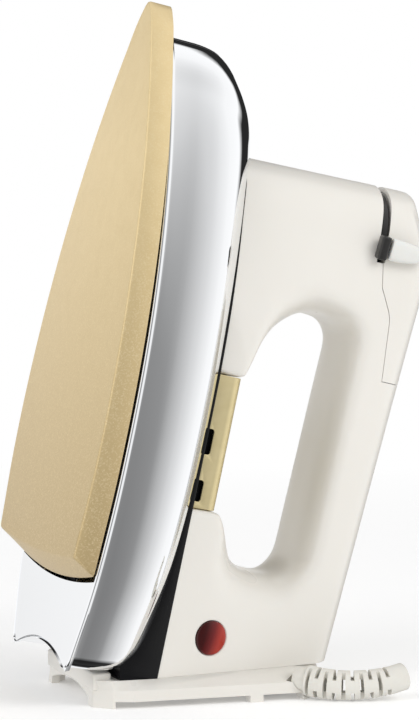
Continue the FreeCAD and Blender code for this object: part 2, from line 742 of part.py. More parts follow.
# Half of the base's outline as (along, half width), at its seam with the handle and at the floor.
HEEL_TOP = ((-47.5, 30.5), (-42, 34.0), (-26, 34.4), (10, 28.0), (30, 23.3), (38, 19.6), (43.2, 14.0),
            (46.2, 7.5), (46.9, 3.6))
HEEL_LOW = ((-48.0, 29.5), (-42, 35.5), (-35, 38.3), (0, 38.3), (31, 38.3), (38, 30.0), (44, 20.0),
            (47.5, 9.0), (47.9, 3.6))
LEDGE_INSET = 0.5              # how far the wall has drawn in where the ledge begins
TOE_CORNERS = ((-48.0, -29.5), (-41.0, -31.0))
HEEL_FEET = ((-60.0, -41.0), (9.8, 14.7), (30.5, 35.5))     # stretches that reach the floor


def heel_outline(points, inset):
    """A closed outline of the heel base about its own middle line, smaller by an inset."""
    shift = size("rear_corner_x") + HEEL_ORIGIN
    widen = size("base_half_width") / HEEL_LOW[3][1]
    near = [(x + shift + (inset if x < 0 else -inset), inset - y * widen) for x, y in points]
    return near + [(x, -y) for x, y in reversed(near)]


def build_heel_base(dome):
    shift = size("rear_corner_x") + HEEL_ORIGIN
    high = size("base_height")
    low = size("base_clearance")
    wall = size("base_wall")
    ledge = (size("base_ledge"), heel_outline(HEEL_LOW, LEDGE_INSET))
    shape = world_loft((0, heel_outline(HEEL_LOW, 0)), ledge, (high, heel_outline(HEEL_TOP, 0)))
    room = world_loft((-1, heel_outline(HEEL_LOW, wall)), (high - wall, heel_outline(HEEL_TOP, wall)))
    shape = shape.cut(room)
    for foot, next_foot in zip(HEEL_FEET, HEEL_FEET[1:] + ((70.0, 80.0),)):
        start = foot[1] + shift
        shape = shape.cut(Part.makeBox(next_foot[0] + shift - start, 120, low + 1, Vector(start, -60, -1)))
    toe = [(x + shift, y * size("base_half_width") / HEEL_LOW[3][1]) for x, y in TOE_CORNERS]
    toe = toe + [(x, -y) for x, y in reversed(toe)]
    shape = shape.fuse(world_loft((high - wall, toe), (size("toe_rise"), toe)))
    arch = Part.makeCylinder(90, 12, Vector(-50 + shift, 0, 6.2 - 90), X_AXIS)
    arch = arch.common(Part.makeBox(12, 49, 20, Vector(-50 + shift, -24.5, -2)))
    shape = shape.cut(arch).cut(dome.transformed(SOLE_FRAME.toMatrix()))
    radius = size("screw_radius") + 0.3
    for x, y in heel_screw_places():
        shape = shape.cut(Part.makeCylinder(radius, 20, Vector(x, y, 0)))
    posts = [Part.makeCylinder(3.0, 4, Vector(x, y, high - wall - 3)) for x, y in clamp_screw_places()]
    shape = shape.multiFuse(posts)
    for x, y in clamp_screw_places():
        shape = shape.cut(Part.makeCylinder(1.5, 6, Vector(x, y, high - wall - 4)))
    shape = shape.cut(guard_neck(0.1)).cut(guard_root(0.1)).cut(guard_passage()).cut(cord_passage())
    solid("heel_base", shape.removeSplitter())


def build_heel_screws():
    high = size("base_height")
    wall = size("base_wall")
    screws = []
    for x, y in heel_screw_places():
        low = high - wall - size("screw_head_thick")
        head = Part.makeCylinder(size("screw_head_radius"), size("screw_head_thick"), Vector(x, y, low))
        shank = Part.makeCylinder(size("screw_radius"), wall + 16, Vector(x, y, high - wall))
        slot = Part.makeBox(8, 1, 1, Vector(x - 4, y - 0.5, low - 0.2))
        screws.append(head.fuse(shank).cut(slot))
    solid("heel_screws", Part.Compound(screws))


# ---------------------------------------------------------------- mains entry
def clamp_screw_places():
    shift = size("rear_corner_x") + HEEL_ORIGIN
    return [(22.0 + shift, -21.0), (22.0 + shift, -8.0)]


def cord_passage():
    """The opening in the base's deck where the conductors turn up to the terminal block."""
    shift = size("rear_corner_x") + HEEL_ORIGIN
    return Part.makeCylinder(5, 20, Vector(9 + shift, -12, 0))


def build_cord_clamp():
    high = size("base_height") - size("base_wall") - 3
    ends = clamp_screw_places()
    bar_low = Vector(ends[0][0] - 3.5, ends[0][1] - 3.5, high - 2.4)
    bar = Part.makeBox(7, ends[1][1] - ends[0][1] + 7, 2.4, bar_low)
    screws = []
    for x, y in ends:
        shank = Part.makeCylinder(1.5, 7.4, Vector(x, y, high - 2.4))
        head = Part.makeCylinder(2.6, 1.0, Vector(x, y, high - 3.4))
        screws.append(shank.fuse(head))
        bar = bar.cut(shank)
    solid("cord_clamp", bar)
    solid("cord_clamp_screws", Part.Compound(screws))


def build_terminal_block():
    shift = size("rear_corner_x") + HEEL_ORIGIN
    floor = size("base_height")
    block_low = Vector(14.2 + shift, -12.0, floor)
    body = Part.makeBox(12.6, 24, 11, block_low)
    screws = []
    for y in (-8.0, 0.0, 8.0):
        tunnel = Part.makeCylinder(1.9, 20, Vector(12 + shift, y, floor + 4), X_AXIS)
        well = Part.makeCylinder(2.2, 8, Vector(20.5 + shift, y, floor + 5.5))
        body = body.cut(tunnel).cut(well)
        screws.append(Part.makeCylinder(2.1, 4.0, Vector(20.5 + shift, y, floor + 6.0)))
    solid("terminal_block", body)
    solid("terminal_screws", Part.Compound(screws))


GUARD_ROOT = (32.5, -37.0, 6.8)   # where the guard leaves the base
GUARD_HEADING = (-40.0, 4.0)      # degrees in plan from straight back, at the root and at the end
GUARD_CLIMB = (-7.0, 12.0)        # degrees above level, at the root and at the end
GUARD_MODULES = 6               # the last one is the plain collar
PASSAGE_LENGTH = 16.0
SLOT_DEPTH = 0.42               # where the slots end, as a share of the radius from the axis


def guard_modules():
    """Start, direction, outer radius and length of each module."""
    shift = size("rear_corner_x") + HEEL_ORIGIN
    start = Vector(GUARD_ROOT[0] + shift, GUARD_ROOT[1], GUARD_ROOT[2])
    modules = []
    for index in range(GUARD_MODULES):
        share = index / (GUARD_MODULES - 1)
        heading = math.radians(GUARD_HEADING[0] + share * (GUARD_HEADING[1] - GUARD_HEADING[0]))
        climb = math.radians(GUARD_CLIMB[0] + share * (GUARD_CLIMB[1] - GUARD_CLIMB[0]))
        level = math.cos(climb)
        ahead = Vector(level * math.cos(heading), level * math.sin(heading), math.sin(climb))
        radius = size("guard_root_radius") + share * (size("guard_end_radius") - size("guard_root_radius"))
        length = size("guard_pitch") if index < GUARD_MODULES - 1 else size("guard_collar")
        modules.append((start, ahead, radius, length))
        start = start + ahead * length
    return modules


def guard_neck(grow):
    """The neck that passes into the base."""
    start, ahead, radius, length = guard_modules()[0]
    reach = size("guard_neck")
    return Part.makeCylinder(size("guard_bore") + 1.2 + grow, reach + 0.5, start - ahead * reach, ahead)


def guard_passage():
    """The cord's way from the guard through the base's wall."""
    start, ahead, radius, length = guard_modules()[0]
    return Part.makeCylinder(size("guard_bore"), PASSAGE_LENGTH, start - ahead * PASSAGE_LENGTH, ahead)


def guard_root(grow):
    """The room that the guard's first module takes where it leaves the base."""
    start, ahead, radius, length = guard_modules()[0]
    return Part.makeCylinder(radius + grow, 20, start - ahead * (0.3 + grow), ahead)


def guard_sweep(root_radius, end_radius):
    """A round bar along the guard's bend, up to where its plain collar begins."""
    modules = guard_modules()
    bend = Part.BSplineCurve()
    bend.interpolate(Points=[start for start, ahead, radius, length in modules],
                     InitialTangent=modules[0][1], FinalTangent=modules[-1][1])
    ends = [Part.Wire([Part.Circle(start, ahead, radius).toShape()])
            for (start, ahead, _, _), radius in ((modules[0], root_radius), (modules[-1], end_radius))]
    return Part.Wire([bend.toShape()]).makePipeShell(ends, True, False)


def build_cord_guard():
    modules = guard_modules()
    bore_radius = size("guard_bore")
    root, root_ahead = modules[0][:2]
    last, last_ahead, last_radius, last_length = modules[-1]
    shape = guard_sweep(size("guard_root_radius"), last_radius)
    shape = shape.fuse(Part.makeCylinder(last_radius, last_length, last, last_ahead)).fuse(guard_neck(0))
    reach = size("guard_neck") + 3
    bore = guard_sweep(bore_radius, bore_radius)
    bore = bore.fuse(Part.makeCylinder(bore_radius, last_length + 1, last, last_ahead))
    bore = bore.fuse(Part.makeCylinder(bore_radius, reach, root - root_ahead * reach, root_ahead))
    shape = shape.cut(bore)
    for start, ahead, radius, length in modules[:-1]:
        across = ahead.cross(Z_AXIS).normalize()
        above = across.cross(ahead).normalize()
        for place, direction in ((0.25, across), (0.75, above)):
            turn = Rotation(ahead, direction, ahead.cross(direction), "XYZ")
            for side in (-1, 1):
                gap = Part.makeBox(size("guard_slot"), 10, 3 * radius,
                                   Vector(-size("guard_slot") / 2, 0, -1.5 * radius))
                gap.translate(Vector(0, radius * SLOT_DEPTH, 0))
                if side < 0:
                    gap = gap.mirror(Vector(0, 0, 0), Y_AXIS)
                gap.Placement = Placement(start + ahead * (place * length), turn).multiply(gap.Placement)
                shape = shape.cut(gap)
    solid("cord_guard", shape)


# ---------------------------------------------------------------- thermostat and wiring
def build_thermostat():
    """The stack under the lever's spindle: bracket, bimetal strip, contact blades, beads."""
    axis = size("lever_axis")
    post = axis - 20
    floor = WEIGHT_HIGH
    bracket = block((post - 7, axis - 5), (-6, 6), (floor, floor + 1.5))
    solid("thermostat_bracket", bracket, SOLE_FRAME)
    strip = block((post - 5, axis + 4), (-4, 4), (floor + 2.3, floor + 3.1))
    insulators = []
    levels = [floor + rise for rise in (1.5, 2.3, 3.1, 5.0, 5.4, 7.4, 7.8, 9.5)]
    for low, high in zip(levels[::2], levels[1::2]):
        insulators.append(peg(post, 0, low, high, 4.5).cut(peg(post, 0, 0, 60, 1.5)))
    lower = block((post - 5, axis + 4), (-3, 3), (levels[3], levels[4]))
    upper = block((post - 5, axis + 4), (-3, 3), (levels[5], levels[6]))
    rivet = peg(post, 0, floor + 1.5, floor + 9.5, 1.5).fuse(peg(post, 0, floor + 9.5, floor + 10.5, 3))
    contacts = peg(axis + 2, 0, levels[4], levels[4] + 0.9, 1.8)
    contacts = Part.Compound([contacts, peg(axis + 2, 0, levels[5] - 0.9, levels[5], 1.8)])
    solid("bimetal_strip", strip.cut(rivet), SOLE_FRAME)
    solid("thermostat_insulators", Part.Compound(insulators), SOLE_FRAME)
    solid("contact_blade_lower", lower.cut(rivet), SOLE_FRAME)
    solid("contact_blade_upper", upper.cut(rivet), SOLE_FRAME)
    solid("contact_points", contacts, SOLE_FRAME)
    solid("thermostat_rivet", rivet, SOLE_FRAME)


def wire_run(points, radius):
    """An insulated lead as straight runs with ball joints, in the sole frame."""
    corners = [Vector(height, across, along) for along, across, height in points]
    shape = Part.makeSphere(radius, corners[0])
    for here, there in zip(corners, corners[1:]):
        ahead = there - here
        shape = shape.fuse(Part.makeCylinder(radius, ahead.Length, here, ahead))
        shape = shape.fuse(Part.makeSphere(radius, there))
    return shape


LEAD_RADIUS = 1.3


def build_leads():
    tag = WEIGHT_HIGH + 10.5
    run = [(-3.8, -14, tag), (6, -14, tag - 1), (60, -12, tag - 1), (108, -4, tag - 2)]
    solid("thermostat_lead", wire_run(run, LEAD_RADIUS), SOLE_FRAME)
    rise = [(-3.8, 14, tag), (-4, 4, tag + 8), (LEADS_ALONG, 2, 46), (LEADS_ALONG - 2, 2, 60),
            (-26, 8, 81.4)]
    solid("neutral_lead", wire_run(rise, LEAD_RADIUS), SOLE_FRAME)
    live = [(-2, -8, tag + 3), (-6, -3, 40), (LEADS_ALONG, -2, 46), (LEADS_ALONG - 2, -3, 60),
            (-26, 0, 81.4)]
    solid("live_lead", wire_run(live, LEAD_RADIUS), SOLE_FRAME)


def build_handle_bolts():
    floor = size("handle_low") + size("handle_floor")
    bolts = []
    spacers = []
    room = cover_solid(size("cover_wall") + 0.02)
    for along in (size("bolt_rear"), size("bolt_front")):
        shank = peg(along, 0, 26, floor, size("bolt_radius"))
        head = peg(along, 0, floor, floor + 3.2, size("bolt_radius") * 1.8)
        slot = block((along - 6, along + 6), (-0.6, 0.6), (floor + 2.0, floor + 4))
        bolts.append(shank.fuse(head).cut(slot))
        spacer = peg(along, 0, WEIGHT_HIGH, 60, size("spacer_radius")).common(room)
        spacers.append(spacer.cut(shank))
    solid("handle_bolts", Part.Compound(bolts), SOLE_FRAME)
    solid("cover_spacers", Part.Compound(spacers), SOLE_FRAME)


# ---------------------------------------------------------------- build, check and write
dome = cover_solid(0)

build_soleplate()
build_stack()
build_studs()
build_element_terminals()
build_cover(dome)
build_tail_plate()
build_handle(dome)
build_skirt(dome)
build_deck(dome)
solid("scale_disc", scale_disc_shape(0), SOLE_FRAME)
solid("cap_screw", cap_screw_shape(0), SOLE_FRAME)
build_lever()
build_spindle()
build_lamp()
build_heel_base(dome)
build_heel_screws()
build_cord_clamp()
build_terminal_block()
build_cord_guard()
build_thermostat()
build_leads()
build_handle_bolts()
doc.recompute()

problems = []
for item in doc.Objects:
    if "Invalid" in item.State or "Error" in item.State:
        problems.append(f"{item.Label}: {item.State}")
for item in nodes:
    if item.Shape.isNull() or not item.Shape.isValid() or not item.Shape.Solids:
        problems.append(f"{item.Label}: bad shape")
if problems:
    raise RuntimeError("; ".join(problems))
os.makedirs("parts", exist_ok=True)
for item in nodes:
    item.Shape.exportStep(f"parts/{item.Label}.step")
whole = Part.Compound([item.Shape for item in nodes])
print(len(nodes), "nodes", whole.BoundBox)
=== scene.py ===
import json
import math
import bmesh
import bpy
from mathutils import Matrix, Vector


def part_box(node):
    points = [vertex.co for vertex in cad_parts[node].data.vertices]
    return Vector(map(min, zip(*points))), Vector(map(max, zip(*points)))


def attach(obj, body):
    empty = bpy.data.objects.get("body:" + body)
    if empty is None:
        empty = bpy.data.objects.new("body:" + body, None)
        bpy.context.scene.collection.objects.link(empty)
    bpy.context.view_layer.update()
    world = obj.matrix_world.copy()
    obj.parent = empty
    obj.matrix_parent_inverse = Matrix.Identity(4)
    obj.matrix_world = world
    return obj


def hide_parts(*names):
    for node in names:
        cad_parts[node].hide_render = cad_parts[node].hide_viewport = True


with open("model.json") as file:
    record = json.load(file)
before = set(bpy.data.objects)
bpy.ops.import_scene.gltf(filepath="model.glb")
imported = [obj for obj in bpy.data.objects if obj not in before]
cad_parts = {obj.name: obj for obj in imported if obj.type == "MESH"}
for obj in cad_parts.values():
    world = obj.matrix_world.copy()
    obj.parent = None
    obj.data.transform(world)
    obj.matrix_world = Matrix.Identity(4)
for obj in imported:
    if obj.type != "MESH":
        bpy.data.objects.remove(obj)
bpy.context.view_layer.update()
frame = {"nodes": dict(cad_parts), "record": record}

MM = 0.001

# ------------------------------------------------------------------ the bench
# The iron is modelled lying on a bench, sole down: x runs from the sole's rear corners to its
# nose, y across towards the lamp's side, z away from the sole's face.  It is stood up at the end.
mounts = {mount["name"]: mount for mount in frame["record"]["mounts"]}
SOLE_MOUNT_ALONG = 90 * MM        # how far along the sole its mount lies
away = -Vector(mounts["sole_face"]["axis"])
along = Vector((-away.z, 0, away.x))
bench_origin = Vector(mounts["sole_face"]["pos_m"]) - along * SOLE_MOUNT_ALONG
STAND_UP = Matrix(((along.x, 0, away.x, bench_origin.x),
                   (0, -1, 0, 0),
                   (along.z, 0, away.z, bench_origin.z),
                   (0, 0, 0, 1)))
LIE_DOWN = STAND_UP.inverted()
STAND_STILL = Matrix.Identity(4)
heel_shift = bench_origin.x / MM + 61.2      # the heel's outlines count from this place, in mm


def only(obj):
    """Leaves one object selected and active."""
    bpy.ops.object.select_all(action="DESELECT")
    obj.select_set(True)
    bpy.context.view_layer.objects.active = obj


def edit(obj):
    only(obj)
    bpy.ops.object.mode_set(mode="EDIT")


def leave_edit():
    bpy.ops.object.mode_set(mode="OBJECT")


def apply_modifier(obj, kind, **settings):
    only(obj)
    modifier = obj.modifiers.new(kind.lower(), kind)
    for name, value in settings.items():
        setattr(modifier, name, value)
    bpy.ops.object.modifier_apply(modifier=modifier.name)


def carve(obj, tool, operation="DIFFERENCE", keep_tool=False):
    """Cuts obj with a tool, or keeps what both share, or joins them."""
    apply_modifier(obj, "BOOLEAN", object=tool, operation=operation, solver="EXACT")
    if not keep_tool:
        bpy.data.objects.remove(tool)


def saw(obj, point, normal):
    """Cuts at a plane, drops what lies ahead of its normal and closes the cut."""
    edit(obj)
    bpy.ops.mesh.select_all(action="SELECT")
    bpy.ops.mesh.bisect(plane_co=point, plane_no=normal, use_fill=True, clear_outer=True)
    leave_edit()


def tidy_mesh(obj):
    """Merges doubles and turns every face outwards."""
    edit(obj)
    bpy.ops.mesh.select_all(action="SELECT")
    bpy.ops.mesh.remove_doubles(threshold=0.00001)
    bpy.ops.mesh.normals_make_consistent(inside=False)
    leave_edit()


def copy_of(obj, name):
    twin = obj.copy()
    twin.data = obj.data.copy()
    twin.name = name
    bpy.context.scene.collection.objects.link(twin)
    return twin


def finished(obj, name, body, slot, nodes=(), place=STAND_UP, smooth_angle=35):
    """Stands a piece up, shades it, hangs it on its body, hides the parts it stands for and keeps its slot for
    painting.
    """
    tidy_mesh(obj)
    obj.data.transform(place @ obj.matrix_world)
    obj.matrix_world = Matrix.Identity(4)
    obj.name = name
    only(obj)
    bpy.ops.object.shade_smooth_by_angle(angle=math.radians(smooth_angle))
    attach(obj, body)
    if nodes:
        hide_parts(*nodes)
    pieces[name] = (obj, slot)
    return obj


pieces = {}


# ------------------------------------------------------------------ lines and lofts
def smooth_line(points, count):
    """Evenly spaced points on a smooth line through the given ones."""
    last = len(points) - 1
    gaps = [max((points[i + 1] - points[i]).length, 1e-9) for i in range(last)]
    slopes = []
    for i in range(last + 1):
        if i == 0:
            slopes.append((points[1] - points[0]) / gaps[0])
        elif i == last:
            slopes.append((points[last] - points[last - 1]) / gaps[-1])
        else:
            before = (points[i] - points[i - 1]) / gaps[i - 1]
            after = (points[i + 1] - points[i]) / gaps[i]
            slopes.append((after * gaps[i - 1] + before * gaps[i]) / (gaps[i - 1] + gaps[i]))
    fine = []
    for i in range(last):
        for step in range(24):
            t = step / 24
            fine.append(points[i] * (2 * t ** 3 - 3 * t ** 2 + 1)
                        + slopes[i] * gaps[i] * (t ** 3 - 2 * t ** 2 + t)
                        + points[i + 1] * (3 * t ** 2 - 2 * t ** 3)
                        + slopes[i + 1] * gaps[i] * (t ** 3 - t ** 2))
    fine.append(points[last])
    return spread(fine, count)


def spread(fine, count):
    """The same line with its points evenly spaced, both ends kept."""
    reach = [0.0]
    for before, after in zip(fine, fine[1:]):
        reach.append(reach[-1] + (after - before).length)
    even = []
    spot = 0
    for k in range(count):
        target = reach[-1] * k / (count - 1)
        while spot < len(fine) - 2 and reach[spot + 1] < target:
            spot += 1
        span = reach[spot + 1] - reach[spot]
        share = (target - reach[spot]) / span if span else 0.0
        even.append(fine[spot].lerp(fine[spot + 1], min(max(share, 0.0), 1.0)))
    return even


def trimmed(line, cut):
    """A line without the stretch of the given length at either end."""
    fine = spread(line, 400)
    total = sum((after - before).length for before, after in zip(fine, fine[1:]))
    skip = max(int(round(400 * cut / total)), 1)
    return fine[skip:-skip]


def plan_outline(shares, half, rear, nose, bow, side_count=150, rear_count=30, slant=0.0, corner=0.0):
    """Closed plan outline in mm: a smooth line round the nose and an arc across the rear.

    The slant sets the rear corners back, and the corner radius rounds them.
    """
    side = [Vector((rear + (nose - rear) * far, half * wide)) for far, wide in shares]
    side[0].x -= slant
    whole = side + [Vector((nose, 0))] + [Vector((p.x, -p.y)) for p in reversed(side)]
    line = smooth_line(whole, side_count)
    chord = side[0].y
    turn = 1 if bow > 0 else -1
    radius = (chord ** 2 + bow ** 2) / (2 * abs(bow))
    middle = side[0].x - bow + turn * radius
    swing = math.asin(min(chord / radius, 1.0))
    arc = []
    for k in range(rear_count + 1):
        angle = -swing + 2 * swing * k / rear_count
        arc.append(Vector((middle - turn * radius * math.cos(angle), radius * math.sin(angle))))
    if not corner:
        return line + arc[1:-1]
    corner = min(corner, chord / 2)
    line = spread(trimmed(line, corner), side_count)
    arc = spread(trimmed(arc, corner), rear_count)
    turns = []
    for start, tip, end in ((line[-1], whole[-1], arc[0]), (arc[-1], whole[0], line[0])):
        turns.append([start.lerp(tip, k / 8).lerp(tip.lerp(end, k / 8), k / 8) for k in range(1, 8)])
    return line + turns[0] + arc + turns[1]


def level(outline, height):
    """An outline laid at one height above the bench, in metres."""
    return [Vector((p.x * MM, p.y * MM, height * MM)) for p in outline]


def loft(rings):
    """A disc laid on the first ring and extruded to each of the others in turn."""
    bpy.ops.object.select_all(action="DESELECT")
    bpy.ops.mesh.primitive_circle_add(vertices=len(rings[0]), radius=MM, fill_type="NGON")
    obj = bpy.context.object
    bpy.ops.object.mode_set(mode="EDIT")
    mesh = bmesh.from_edit_mesh(obj.data)
    number = mesh.verts.layers.int.new("number")
    mesh.verts.ensure_lookup_table()
    for index, corner in enumerate(mesh.verts):
        corner[number] = index
        corner.co = rings[0][index]
    for ring in rings[1:]:
        bpy.ops.mesh.extrude_region_move()
        mesh = bmesh.from_edit_mesh(obj.data)
        number = mesh.verts.layers.int["number"]
        for corner in mesh.verts:
            if corner.select:
                corner.co = ring[corner[number]]
    mesh.verts.layers.int.remove(number)
    bmesh.update_edit_mesh(obj.data)
    bpy.ops.mesh.select_all(action="SELECT")
    bpy.ops.mesh.normals_make_consistent(inside=False)
    leave_edit()
    return obj


def rounded(corners, steps=10):
    """Closed profile from (along, height, corner radius), its corners turned by arcs."""
    count = len(corners)
    line = []
    for index, (u, w, radius) in enumerate(corners):
        here = Vector((u, w))
        before = Vector(corners[index - 1][:2])
        after = Vector(corners[(index + 1) % count][:2])
        if radius == 0:
            line.append(here)
            continue
        back = (before - here).normalized()
        ahead = (after - here).normalized()
        half_turn = back.angle(ahead) / 2
        middle = here + (back + ahead).normalized() * (radius / math.sin(half_turn))
        start = here + back * (radius / math.tan(half_turn)) - middle
        end = here + ahead * (radius / math.tan(half_turn)) - middle
        swing = start.angle_signed(end)
        for step in range(steps + 1):
            line.append(middle + Matrix.Rotation(-swing * step / steps, 2) @ start)
    return line


def side_block(profile, near=-80, far=80):
    """A block across the iron whose side view is the profile."""
    return loft([[Vector((p.x * MM, y * MM, p.y * MM)) for p in profile] for y in (near, far)])


def brick(low, high, rounding=0.0, segments=3):
    """A block between two corners in mm, with its edges rounded."""
    low, high = Vector(low) * MM, Vector(high) * MM
    bpy.ops.object.select_all(action="DESELECT")
    bpy.ops.mesh.primitive_cube_add(size=1, location=(low + high) / 2)
    obj = bpy.context.object
    obj.dimensions = high - low
    bpy.ops.object.transform_apply(location=True, rotation=True, scale=True)
    if rounding:
        apply_modifier(obj, "BEVEL", width=rounding * MM, segments=segments, limit_method="NONE")
    return obj


def turned(profile, place, steps=64):
    """A round piece: discs of (height, radius) in mm stacked along z, set at a place."""
    rings = []
    for height, radius in profile:
        rings.append([Vector((radius * math.cos(k * math.tau / steps), radius * math.sin(k * math.tau / steps),
                              height)) * MM for k in range(steps)])
    obj = loft(rings)
    obj.data.transform(place)
    return obj


def axis_place(point, direction):
    """Placement whose z axis lies along a direction, at a point in metres."""
    return Matrix.Translation(point) @ direction.to_track_quat("Z", "Y").to_matrix().to_4x4()


# ------------------------------------------------------------------ soleplate
SOLE_SHARES = ((0.0, 0.929), (0.15, 1.0), (0.42, 0.947), (0.70, 0.667), (0.91, 0.275), (0.975, 0.115))
SOLE_LENGTH, SOLE_HALF, SOLE_THICK = 204.0, 54.86, 9.0
SOLE_SLANT, SOLE_FACE_BOW, SOLE_TOP_BOW = 5.5, 2.2, 4.5


def sole_ring(inset, height):
    """The sole's outline at a height above its face; the rear wall slants back as it rises."""
    rise = height / SOLE_THICK
    bow = SOLE_FACE_BOW + rise * (SOLE_TOP_BOW - SOLE_FACE_BOW)
    outline = plan_outline(SOLE_SHARES, SOLE_HALF - inset, inset, SOLE_LENGTH - 1.6 * inset, bow, 260, 60,
                           SOLE_SLANT * rise + inset, 1.5)
    return level([Vector((p.x + (inset if p.x < 20 else 0.0), p.y)) for p in outline], height)


finished(loft([sole_ring(inset, height) for inset, height in
               ((0.9, 0.0), (0.45, 0.06), (0.12, 0.3), (0.0, 0.75), (0.0, SOLE_THICK - 0.5),
                (0.12, SOLE_THICK - 0.14), (0.5, SOLE_THICK))]),
         "sole_casting", "iron", "gold_coat", ["soleplate"], smooth_angle=50)

# ------------------------------------------------------------------ cover
COVER_SHARES = ((0, 0.66), (0.155, 0.905), (0.25, 0.975), (0.36, 1.0), (0.53, 0.95), (0.76, 0.66),
                (0.92, 0.29), (0.98, 0.11))
# Rise above the lip as a share of the dome's height, and the margins there: side, nose, tail.
DOME_STEPS = ((0.06, 0.76, 0.6, 0.9), (0.17, 0.86, 0.65, 1.0), (0.33, 1.25, 0.95, 1.5), (0.50, 2.65, 2.6, 3.2),
              (0.62, 4.9, 5.9, 7.1), (0.73, 9.3, 10.8, 13.5), (0.82, 16.0, 16.0, 23.0),
              (0.90, 25.5, 22.5, 36.0), (0.96, 37.0, 30.5, 56.0), (1.0, 48.5, 42.0, 84.0))
# The rolled bead along the lip: rise above the lip in mm, and its margin.
LIP_BEAD = ((0.0, 0.35), (0.2, 0.1), (0.6, 0.0), (0.95, 0.06), (1.25, 0.28), (1.45, 0.55), (1.65, 0.72),
            (1.9, 0.75))
COVER_HALF, COVER_NOSE, COVER_TAIL, TAIL_HOLLOW, TAIL_CORNER = 54.8, 193.8, -43.0, -7.5, 8.0
LIP, DOME_HEIGHT = 10.0, 40.4


def dome_ring(share, side, nose, tail):
    shares = []
    for far, wide in COVER_SHARES:
        ellipse = math.sqrt(1 - ((far - 0.36) / 0.64) ** 2) if far > 0.36 else wide
        shares.append((far, wide + 0.8 * share ** 2 * (ellipse - wide)))
    half = COVER_HALF - side
    outline = plan_outline(shares, half, COVER_TAIL + tail, COVER_NOSE - nose, TAIL_HOLLOW * half / COVER_HALF,
                           220, 50, 0.0, TAIL_CORNER)
    return level(outline, LIP + share * DOME_HEIGHT)


def dome():
    """The cover's outer form as a filled solid."""
    rings = [dome_ring(rise / DOME_HEIGHT, margin, 0.75 * margin, margin) for rise, margin in LIP_BEAD]
    sides = smooth_line([Vector((40 * share, side, nose)) for share, side, nose, tail in DOME_STEPS], 42)
    tails = smooth_line([Vector((40 * share, side, tail)) for share, side, nose, tail in DOME_STEPS], 400)
    for step in sides:
        tail = min(tails, key=lambda spot: abs(spot.x - step.x)).z
        rings.append(dome_ring(step.x / 40, step.y, step.z, tail))
    return loft(rings)


cover = dome()
edit(cover)
bpy.ops.mesh.select_all(action="DESELECT")
leave_edit()
for face in cover.data.polygons:
    face.select = len(face.vertices) > 4 and face.normal.z < -0.9
bpy.ops.object.mode_set(mode="EDIT")
bpy.ops.mesh.delete(type="FACE")
leave_edit()
apply_modifier(cover, "SOLIDIFY", thickness=1.0 * MM, offset=-1.0, use_even_offset=True)
finished(cover, "cover_pressing", "iron", "chrome", ["cover"], smooth_angle=40)

# ------------------------------------------------------------------ handle
LOW, TOP = 46.0, 119.0
LOW_HALF, TOP_HALF = 33.5, 18.5
# Along the iron, half width at the low edge and at the grip's back as shares.
HANDLE_STEPS = ((-78, 1.0, 1.06), (-60, 1.0, 1.06), (-10, 1.0, 1.0), (40, 1.0, 0.96), (74, 0.985, 0.96),
                (104, 0.88, 0.98), (130, 0.68, 1.0), (151, 0.41, 0.68))
NOSE_LOW, NOSE_TOP = 156.0, 157.6


def handle_outline(height, inset=0.0, count=180):
    share = (height - LOW) / (TOP - LOW)
    side = []
    for u, low, top in HANDLE_STEPS:
        low_half, top_half = low * LOW_HALF, top * TOP_HALF
        step = u + (share if u > 140 else 0.0)
        side.append(Vector((step, low_half + share * (top_half - low_half) - inset)))
    side[-1].x -= inset
    side[-1].y += inset * 0.5
    nose = NOSE_LOW + share * (NOSE_TOP - NOSE_LOW) - inset
    return smooth_line(side + [Vector((nose, 0))] + [Vector((p.x, -p.y)) for p in reversed(side)], count)


def half_width(u, w):
    """Half the handle's width at a place in its side view."""
    share = (w - LOW) / (TOP - LOW)
    for before, after in zip(HANDLE_STEPS, HANDLE_STEPS[1:]):
        if u <= after[0]:
            break
    t = min(max((u - before[0]) / (after[0] - before[0]), 0.0), 1.0)
    low = (before[1] + t * (after[1] - before[1])) * LOW_HALF
    top = (before[2] + t * (after[2] - before[2])) * TOP_HALF
    return low + share * (top - low)


BACK = rounded([(-100, -20, 0), (-100, 114.2, 0), (-30, 119.0, 60), (62, 125.0, 300), (123, 128.8, 40),
                (147, 121.7, 40), (157.5, 116.7, 8), (170, 68, 0), (170, -20, 0)], 24)
DECK_REAR, DECK_FRONT, DECK_HEIGHT = 24.5, 74.2, 56.4
OPENING = [(24.5, 30, 0), (74.2, 30, 0), (74.2, 56.8, 1), (90, 62.3, 20), (104, 80.5, 15), (103.2, 99.6, 9),
           (3.5, 97, 11), (5.6, 73.5, 14), (24.5, 57.8, 1)]


def ramp(value, start, end):
    """Rises smoothly from 0 to 1 between two values."""
    share = min(max((value - start) / (end - start), 0.0), 1.0)
    return share * share * (3 - 2 * share)


def side_normals(line, centre):
    """For each point of a closed side view, the direction that leads away from a centre."""
    count = len(line)
    normals = []
    for index, spot in enumerate(line):
        across = (line[(index + 1) % count] - line[index - 1]).normalized()
        normal = Vector((across.y, -across.x))
        normals.append(normal if normal.dot(spot - centre) > 0 else -normal)
    return normals


def rolled_block(line, normals, offsets, depths):
    """A block across the handle whose outline shifts by an offset, like an ellipse, over a depth."""
    rows = [(1 - math.cos(math.radians(angle)), 1 - math.sin(math.radians(angle)), 0.0)
            for angle in range(0, 91, 10)] + [(1.0, 0.0, 14.0)]
    rings = []
    for side in (-1, 1):
        side_rings = []
        for out, drop, extra in rows:
            ring = []
            for spot, normal, offset, depth in zip(line, normals, offsets, depths):
                place = spot + normal * (offset * out)
                across = half_width(place.x, place.y) * (1 - depth * drop) + extra
                ring.append(Vector((place.x, side * across, place.y)) * MM)
            side_rings.append(ring)
        rings += reversed(side_rings) if side < 0 else side_rings
    return loft(rings)


